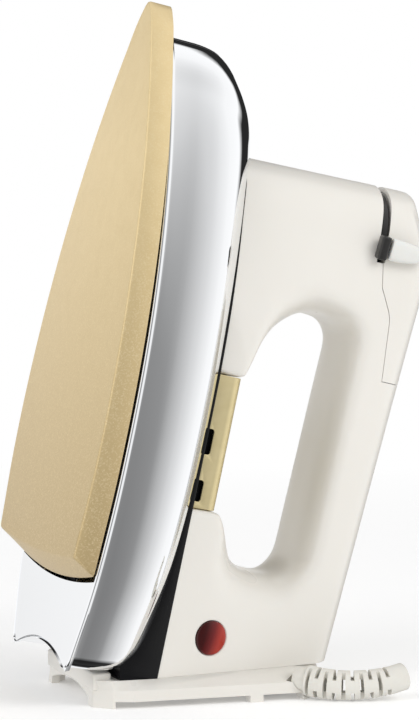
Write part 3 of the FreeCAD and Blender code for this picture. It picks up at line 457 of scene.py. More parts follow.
def opening_tool():
    """The finger opening, flared towards the handle's sides so that the grip is oval."""
    line = rounded(OPENING, 16)
    line = spread(line + line[:1], 221)[:-1]
    flares = []
    depths = []
    for spot in line:
        lift = ramp(spot.y, 57, 74)
        rear_low = ramp(-spot.x, -30, -14) * ramp(-spot.y, -97, -83)
        front_low = ramp(spot.x, 66, 86) * ramp(-spot.y, -92, -78)
        flares.append(0.6 + lift * (6.6 + 9.0 * rear_low + 4.0 * front_low))
        depths.append(0.03 + lift * 0.75)
    return rolled_block(line, side_normals(line, Vector((55, 78))), flares, depths)


def back_tool():
    """Everything under the handle's back, which is rounded from side to side."""
    line = spread(BACK + BACK[:1], 321)[:-1]
    sinks = [-ramp(spot.y, 50, 80) * (9.5 - 4.5 * ramp(spot.x, 112, 146)) for spot in line]
    return rolled_block(line, side_normals(line, Vector((40, 40))), sinks, [0.92] * len(line))


blank = loft([level(handle_outline(height), height) for height in (4, 30, 60, 90, 135)])
carve(blank, back_tool(), "INTERSECT")
carve(blank, opening_tool())
only(blank)
blank.data.remesh_voxel_size = 1.1 * MM
blank.data.use_remesh_fix_poles = False
bpy.ops.object.voxel_remesh()
apply_modifier(blank, "SMOOTH", factor=0.5, iterations=24)

heel_normal = LIE_DOWN.to_3x3() @ Vector((0, 0, -1))
SEAM_HEIGHT = 10.0


def heel_point(height):
    return LIE_DOWN @ Vector((0, 0, height * MM))


SLOT_END, SLOT_LOW, SLOT_HEIGHT = 127.7, 102.2, 3.4
LEVER_AXIS = 137.5


def parting(drop, gap):
    """Side view of what lies above the line between handle and cap."""
    top = SLOT_LOW + SLOT_HEIGHT
    return rounded([(SLOT_END - gap, top - drop, 0), (SLOT_END - gap, top - 0.6 - gap, 0),
                    (118.7 - gap, top + 0.9 - gap, 3), (108.5 - gap, 112.4 - gap, 14), (84.2 - gap, 114.6 - gap, 0),
                    (84.2 - gap, 150, 0), (190, 150, 0), (190, top - drop, 0)], 12)


saw(blank, Vector((0, 0, LOW * MM)), Vector((0, 0, -1)))
handle = copy_of(blank, "handle_moulding")
cap = blank
carve(cap, side_block(parting(0.0, 0.0)), "INTERSECT")
carve(handle, side_block(parting(SLOT_HEIGHT, 0.22)))
saw(handle, heel_point(SEAM_HEIGHT), heel_normal)
slot_floor = turned([(SLOT_LOW - 0.6, 18.0), (SLOT_LOW + 3, 18.0)], Matrix.Translation((LEVER_AXIS * MM, 0, 0)))
carve(handle, slot_floor)
carve(cap, turned([(SLOT_LOW, 17.8), (SLOT_LOW + SLOT_HEIGHT + 0.5, 17.8)],
                  Matrix.Translation((LEVER_AXIS * MM, 0, 0))))

# pilot lamp's seat
LAMP_ALONG, LAMP_HEIGHT, LAMP_RADIUS = -21.0, 64.4, 6.3
taper = math.atan2(LOW_HALF - TOP_HALF, TOP - LOW)
lamp_point = Vector((LAMP_ALONG, half_width(LAMP_ALONG, LAMP_HEIGHT), LAMP_HEIGHT)) * MM
lamp_place = axis_place(lamp_point, Vector((0, math.cos(taper), math.sin(taper))))
carve(handle, turned([(-1.6, LAMP_RADIUS + 0.2), (0.35 - 0.6, LAMP_RADIUS + 0.2), (0.35, LAMP_RADIUS + 0.9),
                      (6, LAMP_RADIUS + 0.9)], lamp_place))
finished(handle, "handle_moulding", "iron", "ivory_plastic", ["handle"], smooth_angle=40)

SCALE_RADIUS = 9.0
scale_low, scale_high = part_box("scale_disc")
scale_normal = Vector((math.sin(math.radians(15)), 0, math.cos(math.radians(15))))
scale_middle = LIE_DOWN @ ((scale_low + scale_high) / 2)
scale_place = axis_place(scale_middle, scale_normal)
carve(cap, turned([(-0.9, SCALE_RADIUS + 0.15), (6, SCALE_RADIUS + 0.15)], scale_place))
finished(cap, "handle_cap_moulding", "iron", "ivory_plastic", ["handle_cap"], smooth_angle=40)

# ------------------------------------------------------------------ scale disc
scale = turned([(-0.85, 8.7), (-0.85, 8.95), (0.35, 8.95), (0.6, 8.8), (0.7, 8.5), (0.7, 7.9), (0.55, 7.75),
                (0.55, 4.0), (0.75, 3.7), (0.75, 0.4)], scale_place, 96)
finished(scale, "lever_scale", "iron", "scale_gold", ["scale_disc"])

# ------------------------------------------------------------------ skirt
skirt = loft([level(handle_outline(LOW, -0.6), height) for height in (14, LOW - 0.5)]
             + [level(handle_outline(LOW, -0.35), LOW - 0.12), level(handle_outline(LOW, 0.1), LOW - 0.02)])
saw(skirt, heel_point(SEAM_HEIGHT), heel_normal)
# It ends just behind the base's toe, so that nothing of it hangs under the cover's tail.
SKIRT_END = -39.0
saw(skirt, LIE_DOWN @ (Vector((SKIRT_END + heel_shift, 0, 0)) * MM), LIE_DOWN.to_3x3() @ Vector((-1, 0, 0)))
carve(skirt, dome())
finished(skirt, "skirt_moulding", "iron", "black_plastic", ["skirt"])


# ------------------------------------------------------------------ deck plate between the posts
def deck_section(u, wall, low):
    """One cross-section of the deck plate, rounded over its shoulders."""
    high = DECK_HEIGHT - wall
    radius = 5.0 - wall
    side = [Vector((half_width(u, low) - 0.3 - wall, low))]
    shoulder = half_width(u, high) - 0.3 - wall
    for step in range(9):
        angle = math.radians(90 * step / 8)
        side.append(Vector((shoulder - radius + radius * math.cos(angle) + 0.25 * (1 - step / 8),
                            high - radius + radius * math.sin(angle))))
    ring = [Vector((u, p.x, p.y)) * MM for p in side]
    return ring + [Vector((u, -p.x, p.y)) * MM for p in reversed(side)]


REAR_FACE, FRONT_FACE = DECK_REAR + 0.15, DECK_FRONT - 0.15
deck = loft([deck_section(REAR_FACE + (FRONT_FACE - REAR_FACE) * k / 6, 0, LOW + 0.1) for k in range(7)])
carve(deck, loft([deck_section(REAR_FACE + 1.2 + (FRONT_FACE - REAR_FACE - 2.4) * k / 6, 1.2, LOW - 2)
                  for k in range(7)]))
for start, end in ((27.1, 34.9), (44.5, 53.9)):
    carve(deck, side_block(rounded([(start, LOW - 3, 0), (end, LOW - 3, 0), (end, LOW + 2.5, 1.1),
                                    (start, LOW + 2.5, 1.1)])))
apply_modifier(deck, "BEVEL", width=0.25 * MM, segments=2, limit_method="ANGLE", angle_limit=math.radians(40))
finished(deck, "deck_plate_pressing", "iron", "gold_trim", ["deck_plate"], smooth_angle=45)
# Painted shade: a black sheet under the deck plate, so that its vent notches show dark as the shade inside the
# handle.
vent_shade = loft([deck_section(REAR_FACE + 1.5 + (FRONT_FACE - REAR_FACE - 3.0) * k / 6, 2.6, LOW - 1) for k in range(7)])
finished(vent_shade, "vent_shade_sheet", "iron", "black_plastic")

# ------------------------------------------------------------------ temperature lever
LEVER_REST = math.radians(101)
lever_place = Matrix.Translation((LEVER_AXIS * MM, 0, 0)) @ Matrix.Rotation(LEVER_REST, 4, "Z")
disc = turned([(102.6, 3.1), (102.6, 16.9), (102.9, 17.2), (104.9, 17.2), (105.2, 16.9), (105.2, 3.1)],
              Matrix.Translation((LEVER_AXIS * MM, 0, 0)), 96)
arm = brick((14, -3.8, 102.6), (22.0, 3.8, 105.2), 0.5)
arm.data.transform(lever_place)
carve(disc, arm, "UNION")
collar = brick((20.95, -4.5, 100.5), (25.6, 4.5, 104.3), 0.9, 4)
collar.data.transform(lever_place)
carve(disc, collar, "UNION")
finished(disc, "lever_disc_moulding", "lever", "lever_dark", ["lever_disc"])

FINGER_STEPS = ((105.0, 4.15, 21.25, 25.3), (105.8, 4.35, 21.15, 25.5), (109.0, 4.3, 21.12, 25.4),
                (113.0, 3.95, 21.1, 25.0), (117.0, 3.2, 21.1, 24.4), (119.4, 2.45, 21.15, 23.9),
                (120.6, 1.7, 21.4, 23.5), (121.0, 0.9, 21.8, 23.0))
rings = []
for height, half, inner, outer in FINGER_STEPS:
    ring = []
    for k in range(32):
        angle = k * math.tau / 32
        flat = Vector((math.cos(angle), math.sin(angle)))
        flat = Vector((math.copysign(abs(flat.x) ** 0.8, flat.x), math.copysign(abs(flat.y) ** 0.8, flat.y)))
        ring.append(Vector(((inner + outer) / 2 + flat.x * (outer - inner) / 2, flat.y * half, height)) * MM)
    rings.append(ring)
finger = loft(rings)
finger.data.transform(lever_place)
apply_modifier(finger, "SUBSURF", levels=2, render_levels=2)
finished(finger, "lever_finger_moulding", "lever", "lever_white", ["lever_finger"], smooth_angle=60)

# ------------------------------------------------------------------ pilot lamp
lens = turned([(-1.4, 5.4), (-1.4, 6.3), (0.1, 6.3), (0.35, 6.15), (0.55, 5.8), (0.95, 4.6), (1.3, 3.0),
               (1.5, 1.4), (1.56, 0.3)], lamp_place, 80)
finished(lens, "pilot_lamp_lens", "iron", "lamp_red", ["lamp_lens"], smooth_angle=50)

# ------------------------------------------------------------------ heel base, in the standing frame
HEEL_TOP = ((-47.5, 30.5), (-42, 34.0), (-26, 34.4), (10, 28.0), (30, 23.3), (38, 19.6), (43.2, 14.0),
            (46.2, 7.5), (46.9, 3.6))
HEEL_LOW = ((-48.0, 29.5), (-42, 35.5), (-35, 38.3), (0, 38.3), (31, 38.3), (38, 30.0), (44, 20.0),
            (47.5, 9.0), (47.9, 3.6))
HEEL_ROUNDS = (2.5, 2.5, 2.5, 0, 2.5, 2.5, 2.5, 1.5, 0)
HEEL_GAPS = ((-41.0, 9.8), (14.7, 30.5), (35.5, 70.0))
BASE_CLEARANCE, BASE_WALL, TOE_RISE, LEDGE = 2.6, 3.0, 12.4, 6.6


def heel_ring(points, inset, height):
    near = [(x + heel_shift + (inset if x < 0 else -inset), inset - y, radius)
            for (x, y), radius in zip(points, HEEL_ROUNDS)]
    line = rounded(near + [(x, -y, radius) for x, y, radius in reversed(near)], 6)
    return [Vector((p.x, p.y, height)) * MM for p in line]


base = loft([heel_ring(HEEL_LOW, 0, 0), heel_ring(HEEL_LOW, 0.5, LEDGE), heel_ring(HEEL_TOP, 0, SEAM_HEIGHT - 0.05)])
carve(base, loft([heel_ring(HEEL_LOW, BASE_WALL, -1), heel_ring(HEEL_TOP, BASE_WALL, SEAM_HEIGHT - BASE_WALL)]))
for start, end in HEEL_GAPS:
    carve(base, brick((start + heel_shift, -60, -3), (end + heel_shift, 60, BASE_CLEARANCE)))
toe = brick((-48 + heel_shift, -30.5, 6), (-41 + heel_shift, 30.5, TOE_RISE), 0.8)
carve(base, toe, "UNION")
arch = turned([(-60, 90), (-38, 90)], Matrix.Translation(Vector((heel_shift, 0, 6.2 - 90)) * MM)
              @ Matrix.Rotation(math.radians(90), 4, "Y"), 256)
carve(arch, brick((-70 + heel_shift, -24.5, -20), (-38 + heel_shift, 24.5, 20)), "INTERSECT")
carve(base, arch)
cover_form = dome()
cover_form.data.transform(STAND_UP)
carve(base, cover_form)


# ------------------------------------------------------------------ cord guard, in the standing frame
GUARD_START = Vector((32.5 + heel_shift, -37.0, 6.8))
GUARD_HEADINGS, GUARD_CLIMBS = (-40.0, 4.0), (-7.0, 12.0)
GUARD_PITCH, GUARD_MODULES, GUARD_COLLAR = 6.1, 6, 6.4
NECK = 5.0


def guard_line():
    """Points along the guard's middle, from inside the base to its free end."""
    spots = [GUARD_START.copy()]
    for index in range(GUARD_MODULES):
        share = index / (GUARD_MODULES - 1)
        heading = math.radians(GUARD_HEADINGS[0] + share * (GUARD_HEADINGS[1] - GUARD_HEADINGS[0]))
        climb = math.radians(GUARD_CLIMBS[0] + share * (GUARD_CLIMBS[1] - GUARD_CLIMBS[0]))
        ahead = Vector((math.cos(climb) * math.cos(heading), math.cos(climb) * math.sin(heading), math.sin(climb)))
        if index == 0:
            spots.insert(0, GUARD_START - ahead * NECK)
        spots.append(spots[-1] + ahead * (GUARD_PITCH if index < GUARD_MODULES - 1 else GUARD_COLLAR))
    return spots


guard_spots = guard_line()
GUARD_LENGTH = NECK + (GUARD_MODULES - 1) * GUARD_PITCH + GUARD_COLLAR


def guard_tube(profile, steps=56):
    """Rings of (distance, radius) along x."""
    rings = []
    for distance, radius in profile:
        rings.append([Vector((distance, radius * math.cos(k * math.tau / steps),
                              radius * math.sin(k * math.tau / steps))) * MM for k in range(steps)])
    return loft(rings)


outer = [(0.0, 4.3), (0.3, 4.5), (NECK - 0.4, 4.5), (NECK - 0.3, 5.3), (NECK, 5.7)]
outer += [(NECK + 1.0 + k, 5.7 - 0.6 * k / 33) for k in range(33)]
outer += [(GUARD_LENGTH - 0.4, 5.1), (GUARD_LENGTH, 4.75)]
guard = guard_tube(outer)
carve(guard, guard_tube([(-1.0 + 1.2 * k, 3.3) for k in range(46)]))
for index in range(GUARD_MODULES - 1):
    middle = NECK + index * GUARD_PITCH
    for share, flat in ((0.25, False), (0.75, True)):
        spot = middle + share * GUARD_PITCH
        for side in (-1, 1):
            if flat:
                low = Vector((spot - 0.65, -9, 2.3 if side > 0 else -9))
                high = Vector((spot + 0.65, 9, 9 if side > 0 else -2.3))
            else:
                low = Vector((spot - 0.65, 2.3 if side > 0 else -9, -9))
                high = Vector((spot + 0.65, 9 if side > 0 else -2.3, 9))
            carve(guard, brick(low, high))
apply_modifier(guard, "BEVEL", width=0.28 * MM, segments=2, limit_method="ANGLE", angle_limit=math.radians(45))
bend = bpy.data.curves.new("guard_bend", "CURVE")
bend.dimensions = "3D"
bend.twist_mode = "Z_UP"
line = bend.splines.new("POLY")
fine = smooth_line(guard_spots, 120)
line.points.add(len(fine) - 1)
for point, spot in zip(line.points, fine):
    point.co = (*(spot * MM), 1)
bend_object = bpy.data.objects.new("guard_bend", bend)
bpy.context.scene.collection.objects.link(bend_object)
apply_modifier(guard, "CURVE", object=bend_object, deform_axis="POS_X")
bpy.data.objects.remove(bend_object)

neck_tool = guard_tube([(-2, 4.65), (NECK - 0.6, 4.65), (NECK - 0.5, 5.95), (NECK + 20, 5.95)])
first = (guard_spots[1] - guard_spots[0]).normalized()
neck_tool.data.transform(Matrix.Translation(guard_spots[0] * MM)
                         @ first.to_track_quat("X", "Z").to_matrix().to_4x4())
carve(base, neck_tool)
apply_modifier(base, "BEVEL", width=0.45 * MM, segments=2, limit_method="ANGLE", angle_limit=math.radians(35))
finished(base, "heel_base_moulding", "iron", "ivory_plastic", ["heel_base"], STAND_STILL, 35)
finished(guard, "cord_guard_moulding", "iron", "guard_white", ["cord_guard"], STAND_STILL, 45)


# ------------------------------------------------------------------ shader groups
def new_group(name, inputs, outputs):
    group = bpy.data.node_groups.new(name, "ShaderNodeTree")
    for label, kind, value in inputs:
        socket = group.interface.new_socket(name=label, in_out="INPUT", socket_type=kind)
        if value is not None:
            socket.default_value = value
    for label, kind in outputs:
        group.interface.new_socket(name=label, in_out="OUTPUT", socket_type=kind)
    return group, group.nodes.new("NodeGroupInput"), group.nodes.new("NodeGroupOutput")


def grain_group():
    """Moulded or cast skin: a fine height field, and a mask that drifts slowly over the piece."""
    group, entry, leave = new_group(
        "surface_grain",
        [("Vector", "NodeSocketVector", None), ("Grain Size", "NodeSocketFloat", 0.0004),
         ("Drift Size", "NodeSocketFloat", 0.03)],
        [("Height", "NodeSocketFloat"), ("Drift", "NodeSocketFloat")])
    for label, size_label, detail in (("Height", "Grain Size", 3.0), ("Drift", "Drift Size", 2.0)):
        divide = group.nodes.new("ShaderNodeMath")
        divide.operation = "DIVIDE"
        divide.inputs[0].default_value = 1.0
        noise = group.nodes.new("ShaderNodeTexNoise")
        noise.inputs["Detail"].default_value = detail
        group.links.new(entry.outputs[size_label], divide.inputs[1])
        group.links.new(divide.outputs[0], noise.inputs["Scale"])
        group.links.new(entry.outputs["Vector"], noise.inputs["Vector"])
        group.links.new(noise.outputs["Fac"], leave.inputs[label])
    return group


def speckle_group():
    """Flakes in a metallic coating: cells of uneven brightness over a soft cloud."""
    group, entry, leave = new_group(
        "coating_speckle",
        [("Vector", "NodeSocketVector", None), ("Flake Size", "NodeSocketFloat", 0.0006)],
        [("Flakes", "NodeSocketFloat"), ("Cloud", "NodeSocketFloat")])
    divide = group.nodes.new("ShaderNodeMath")
    divide.operation = "DIVIDE"
    divide.inputs[0].default_value = 1.0
    group.links.new(entry.outputs["Flake Size"], divide.inputs[1])
    cells = group.nodes.new("ShaderNodeTexVoronoi")
    group.links.new(entry.outputs["Vector"], cells.inputs["Vector"])
    group.links.new(divide.outputs[0], cells.inputs["Scale"])
    split = group.nodes.new("ShaderNodeSeparateColor")
    group.links.new(cells.outputs["Color"], split.inputs["Color"])
    group.links.new(split.outputs["Red"], leave.inputs["Flakes"])
    cloud = group.nodes.new("ShaderNodeTexNoise")
    cloud.inputs["Scale"].default_value = 160.0
    cloud.inputs["Detail"].default_value = 6.0
    group.links.new(entry.outputs["Vector"], cloud.inputs["Vector"])
    group.links.new(cloud.outputs["Fac"], leave.inputs["Cloud"])
    return group


def dust_group():
    """A thin film that gathers on faces that look up."""
    group, entry, leave = new_group(
        "settled_dust",
        [("Vector", "NodeSocketVector", None), ("Amount", "NodeSocketFloat", 0.2)],
        [("Mask", "NodeSocketFloat")])
    geometry = group.nodes.new("ShaderNodeNewGeometry")
    split = group.nodes.new("ShaderNodeSeparateXYZ")
    group.links.new(geometry.outputs["Normal"], split.inputs[0])
    noise = group.nodes.new("ShaderNodeTexNoise")
    noise.inputs["Scale"].default_value = 90.0
    noise.inputs["Detail"].default_value = 5.0
    group.links.new(entry.outputs["Vector"], noise.inputs["Vector"])
    upward = group.nodes.new("ShaderNodeMapRange")
    upward.inputs["From Min"].default_value = 0.2
    group.links.new(split.outputs["Z"], upward.inputs["Value"])
    patchy = group.nodes.new("ShaderNodeMath")
    patchy.operation = "MULTIPLY"
    group.links.new(upward.outputs[0], patchy.inputs[0])
    group.links.new(noise.outputs["Fac"], patchy.inputs[1])
    scaled = group.nodes.new("ShaderNodeMath")
    scaled.operation = "MULTIPLY"
    group.links.new(patchy.outputs[0], scaled.inputs[0])
    group.links.new(entry.outputs["Amount"], scaled.inputs[1])
    group.links.new(scaled.outputs[0], leave.inputs["Mask"])
    return group


GRAIN, SPECKLE, DUST = grain_group(), speckle_group(), dust_group()


# ------------------------------------------------------------------ materials
def start_material(name):
    material = bpy.data.materials.new(name)
    material.use_nodes = True
    nodes, links = material.node_tree.nodes, material.node_tree.links
    coordinates = nodes.new("ShaderNodeTexCoord")
    return material, nodes, links, nodes["Principled BSDF"], coordinates.outputs["Object"]


def add_group(nodes, links, group, place, **values):
    shader_group = nodes.new("ShaderNodeGroup")
    shader_group.node_tree = group
    links.new(place, shader_group.inputs["Vector"])
    for label, value in values.items():
        shader_group.inputs[label.replace("_", " ")].default_value = value
    return shader_group


def mixed(nodes, links, mask, first, second):
    """Mixes two colours by a mask."""
    mix = nodes.new("ShaderNodeMix")
    mix.data_type = "RGBA"
    links.new(mask, mix.inputs["Factor"])
    for socket, colour in ((mix.inputs["A"], first), (mix.inputs["B"], second)):
        if isinstance(colour, bpy.types.NodeSocket):
            links.new(colour, socket)
        else:
            socket.default_value = (*colour, 1)
    return mix.outputs["Result"]


def spread_value(nodes, links, source, low, high, start=0.3, end=0.7):
    """Stretches a mask to run between two values."""
    node = nodes.new("ShaderNodeMapRange")
    node.inputs["From Min"].default_value = start
    node.inputs["From Max"].default_value = end
    node.inputs["To Min"].default_value = low
    node.inputs["To Max"].default_value = high
    links.new(source, node.inputs["Value"])
    return node.outputs[0]


def bumped(nodes, links, shader, height, depth_mm, strength=1.0):
    bump = nodes.new("ShaderNodeBump")
    bump.inputs["Distance"].default_value = depth_mm * MM
    bump.inputs["Strength"].default_value = strength
    links.new(height, bump.inputs["Height"])
    links.new(bump.outputs[0], shader.inputs["Normal"])


def plastic(name, colour, shade, rough, grain_mm=0.5, depth_mm=0.01, dust=0.12, coat=0.0, scatter=0.0, gleam=0.5):
    """Moulded plastic with a faint skin, a slow drift of colour and gloss, and a little dust."""
    material, nodes, links, shader, place = start_material(name)
    grain = add_group(nodes, links, GRAIN, place, Grain_Size=grain_mm * MM, Drift_Size=0.035)
    dusty = add_group(nodes, links, DUST, place, Amount=dust)
    drift = spread_value(nodes, links, grain.outputs["Drift"], 0.0, 1.0)
    skin = mixed(nodes, links, drift, colour, shade)
    film = mixed(nodes, links, dusty.outputs["Mask"], skin, (0.78, 0.76, 0.72))
    links.new(film, shader.inputs["Base Color"])
    links.new(spread_value(nodes, links, grain.outputs["Drift"], rough - 0.03, rough + 0.05),
              shader.inputs["Roughness"])
    bumped(nodes, links, shader, grain.outputs["Height"], depth_mm)
    shader.inputs["IOR"].default_value = 1.5
    shader.inputs["Specular IOR Level"].default_value = gleam
    shader.inputs["Coat Weight"].default_value = coat
    shader.inputs["Coat Roughness"].default_value = 0.05
    if scatter:
        shader.inputs["Subsurface Weight"].default_value = scatter
        shader.inputs["Subsurface Radius"].default_value = (0.004, 0.0032, 0.0025)
    return material


def metal(name, colour, shade, rough, grain_mm=0.6, depth_mm=0.008, stretch=(1, 1, 1), dust=0.05):
    """Bare metal, with its grain drawn out along the way it was rolled or turned."""
    material, nodes, links, shader, place = start_material(name)
    mapping = nodes.new("ShaderNodeMapping")
    mapping.inputs["Scale"].default_value = stretch
    links.new(place, mapping.inputs["Vector"])
    grain = add_group(nodes, links, GRAIN, mapping.outputs[0], Grain_Size=grain_mm * MM, Drift_Size=0.02)
    dusty = add_group(nodes, links, DUST, place, Amount=dust)
    drift = spread_value(nodes, links, grain.outputs["Drift"], 0.0, 1.0)
    skin = mixed(nodes, links, drift, colour, shade)
    links.new(mixed(nodes, links, dusty.outputs["Mask"], skin, (0.7, 0.68, 0.64)), shader.inputs["Base Color"])
    links.new(spread_value(nodes, links, grain.outputs["Height"], rough - 0.05, rough + 0.07),
              shader.inputs["Roughness"])
    shader.inputs["Metallic"].default_value = 1.0
    bumped(nodes, links, shader, grain.outputs["Height"], depth_mm)
    return material


def gold_coating():
    """Satin metallic coating with fine flakes, with painted shade that darkens it towards the heel, near the floor.
    """
    material, nodes, links, shader, place = start_material("gold_coating")
    flakes = add_group(nodes, links, SPECKLE, place, Flake_Size=0.00042)
    cloud = spread_value(nodes, links, flakes.outputs["Cloud"], 0.0, 1.0, 0.3, 0.7)
    base = mixed(nodes, links, cloud, (0.88, 0.70, 0.39), (0.84, 0.66, 0.355))
    height = nodes.new("ShaderNodeSeparateXYZ")
    links.new(place, height.inputs[0])
    # Painted shade: the coating turns darker low down, towards the heel and the floor, and lighter higher up.
    painted_low_shade = spread_value(nodes, links, height.outputs["Z"], 1.0, 0.0, 0.06, 0.20)
    base = mixed(nodes, links, painted_low_shade, base, (0.60, 0.455, 0.235))
    sparkle = spread_value(nodes, links, flakes.outputs["Flakes"], 0.0, 0.4, 0.6, 1.0)
    links.new(mixed(nodes, links, sparkle, base, (0.93, 0.79, 0.52)), shader.inputs["Base Color"])
    links.new(spread_value(nodes, links, flakes.outputs["Flakes"], 0.40, 0.50, 0.0, 1.0), shader.inputs["Roughness"])
    shader.inputs["Metallic"].default_value = 0.52
    bumped(nodes, links, shader, flakes.outputs["Flakes"], 0.006, 0.5)
    return material


def chrome_plate():
    material, nodes, links, shader, place = start_material("chrome_plate")
    grain = add_group(nodes, links, GRAIN, place, Grain_Size=0.004, Drift_Size=0.05)
    dusty = add_group(nodes, links, DUST, place, Amount=0.04)
    links.new(mixed(nodes, links, dusty.outputs["Mask"], (0.92, 0.93, 0.945), (0.8, 0.8, 0.8)),
              shader.inputs["Base Color"])
    links.new(spread_value(nodes, links, grain.outputs["Drift"], 0.015, 0.05), shader.inputs["Roughness"])
    shader.inputs["Metallic"].default_value = 1.0
    bumped(nodes, links, shader, grain.outputs["Height"], 0.004, 0.25)
    return material


def lamp_glass():
    """Deep red moulded lens whose colour is painted dark maroon on one side and orange-red on the other: painted
    light falling across it.
    """
    material, nodes, links, shader, place = start_material("lamp_glass")
    mapping = nodes.new("ShaderNodeMapping")
    middle = STAND_UP @ lamp_point
    mapping.inputs["Location"].default_value = tuple(-value for value in middle)
    links.new(place, mapping.inputs["Vector"])
    split = nodes.new("ShaderNodeSeparateXYZ")
    links.new(mapping.outputs[0], split.inputs[0])
    # Painted light: the lens's colour runs from dark on one side to orange-red on the lit side.
    painted_light_side = nodes.new("ShaderNodeMath")
    painted_light_side.operation = "MULTIPLY_ADD"
    painted_light_side.inputs[1].default_value = -0.35
    links.new(split.outputs["Z"], painted_light_side.inputs[0])
    links.new(split.outputs["X"], painted_light_side.inputs[2])
    ramp = nodes.new("ShaderNodeValToRGB")
    ramp.color_ramp.elements[0].color = (0.045, 0.004, 0.004, 1)
    ramp.color_ramp.elements[0].position = 0.25
    ramp.color_ramp.elements[1].color = (0.36, 0.022, 0.010, 1)
    ramp.color_ramp.elements[1].position = 0.78
    stop = ramp.color_ramp.elements.new(0.5)
    stop.color = (0.13, 0.006, 0.006, 1)
    links.new(spread_value(nodes, links, painted_light_side.outputs[0], 0.0, 1.0, -0.0063, 0.0063), ramp.inputs["Fac"])
    links.new(ramp.outputs["Color"], shader.inputs["Base Color"])
    grain = add_group(nodes, links, GRAIN, place, Grain_Size=0.0012, Drift_Size=0.004)
    bumped(nodes, links, shader, grain.outputs["Height"], 0.02, 0.4)
    shader.inputs["Roughness"].default_value = 0.16
    shader.inputs["Coat Weight"].default_value = 0.2
    shader.inputs["Specular IOR Level"].default_value = 0.3
    shader.inputs["Coat Roughness"].default_value = 0.04
    return material


def clear_glass():
    material, nodes, links, shader, place = start_material("neon_bulb_glass")
    grain = add_group(nodes, links, GRAIN, place, Grain_Size=0.002, Drift_Size=0.004)
    links.new(mixed(nodes, links, grain.outputs["Drift"], (0.95, 0.75, 0.6), (0.9, 0.6, 0.4)),
              shader.inputs["Base Color"])
    shader.inputs["Transmission Weight"].default_value = 0.8
    shader.inputs["Roughness"].default_value = 0.06
    return material


def sleeve():
    """Braided glass sleeve on the leads."""
    material, nodes, links, shader, place = start_material("braided_sleeve")
    weave = nodes.new("ShaderNodeTexWave")
    weave.inputs["Scale"].default_value = 900.0
    weave.inputs["Distortion"].default_value = 1.5
    links.new(place, weave.inputs["Vector"])
    links.new(mixed(nodes, links, weave.outputs["Fac"], (0.62, 0.58, 0.46), (0.82, 0.79, 0.68)),
              shader.inputs["Base Color"])
    shader.inputs["Roughness"].default_value = 0.85
    bumped(nodes, links, shader, weave.outputs["Fac"], 0.15)
    return material


FINISHES = {
    "gold_coat": gold_coating(),
    "chrome": chrome_plate(),
    "gold_trim": metal("gold_anodised", (0.86, 0.74, 0.44), (0.82, 0.70, 0.40), 0.42, 0.35, 0.003, (1, 6, 6)),
    "scale_gold": metal("olive_gold", (0.50, 0.41, 0.14), (0.44, 0.35, 0.11), 0.3, 0.3, 0.004),
    "ivory_plastic": plastic("ivory_moulding", (0.80, 0.775, 0.725), (0.785, 0.76, 0.705), 0.3, 0.5, 0.003, 0.06,
                             scatter=0.08),
    "black_plastic": plastic("black_moulding", (0.007, 0.007, 0.008), (0.010, 0.010, 0.010), 0.14, 0.6, 0.003, 0.01,
                             gleam=0.18),
    "lever_dark": plastic("dark_moulding", (0.022, 0.021, 0.020), (0.03, 0.029, 0.028), 0.3, 0.4, 0.006, 0.02),
    "lever_white": plastic("milky_moulding", (0.80, 0.80, 0.77), (0.74, 0.74, 0.71), 0.22, 0.6, 0.003, 0.04,
                           scatter=0.35),
    "lamp_red": lamp_glass(),
    "holder_white": plastic("white_holder", (0.75, 0.75, 0.72), (0.7, 0.7, 0.67), 0.45, 0.5, 0.01),
    "neon_glass": clear_glass(),
    "guard_white": plastic("soft_white_moulding", (0.78, 0.765, 0.71), (0.73, 0.71, 0.655), 0.46, 0.35, 0.012, 0.1,
                           scatter=0.12),
    "steel": metal("zinc_plate", (0.60, 0.60, 0.61), (0.52, 0.52, 0.54), 0.3, 0.5, 0.01, (1, 1, 8)),
    "spring_steel": metal("rolled_steel", (0.50, 0.50, 0.52), (0.42, 0.42, 0.45), 0.35, 0.4, 0.01, (1, 8, 1)),
    "brass": metal("plain_brass", (0.72, 0.54, 0.24), (0.62, 0.45, 0.18), 0.3, 0.4, 0.01, (6, 1, 1)),
    "cast_iron": metal("cast_weight", (0.20, 0.20, 0.21), (0.12, 0.12, 0.125), 0.62, 1.0, 0.12, dust=0.2),
    "mica": plastic("mica_sheet", (0.50, 0.42, 0.26), (0.40, 0.33, 0.19), 0.35, 2.0, 0.03, coat=0.3),
    "insulation": plastic("fibre_board", (0.72, 0.70, 0.64), (0.62, 0.60, 0.54), 0.85, 0.8, 0.12),
    "ceramic": plastic("glazed_bead", (0.80, 0.78, 0.72), (0.74, 0.71, 0.65), 0.3, 1.0, 0.01, coat=0.5),
    "contact_silver": metal("silver_contact", (0.82, 0.82, 0.84), (0.7, 0.7, 0.73), 0.25, 0.4, 0.006),
    "wire_sleeve": sleeve(),
}


def paint(obj, slot):
    obj.data.materials.clear()
    obj.data.materials.append(FINISHES[slot])


for obj, slot in pieces.values():
    paint(obj, slot)
slot_of = {part["node"]: part["material_slot"] for part in frame["record"]["subparts"]}
for name, obj in frame["nodes"].items():
    paint(obj, slot_of[name])


# ------------------------------------------------------------------ floor, studio and camera
def emitter(name, strength):
    material = bpy.data.materials.new(name)
    material.use_nodes = True
    nodes, links = material.node_tree.nodes, material.node_tree.links
    nodes.clear()
    light = nodes.new("ShaderNodeEmission")
    light.inputs["Strength"].default_value = strength
    links.new(light.outputs[0], nodes.new("ShaderNodeOutputMaterial").inputs["Surface"])
    return material, nodes, links, light


TENT_RADIUS = 3.0
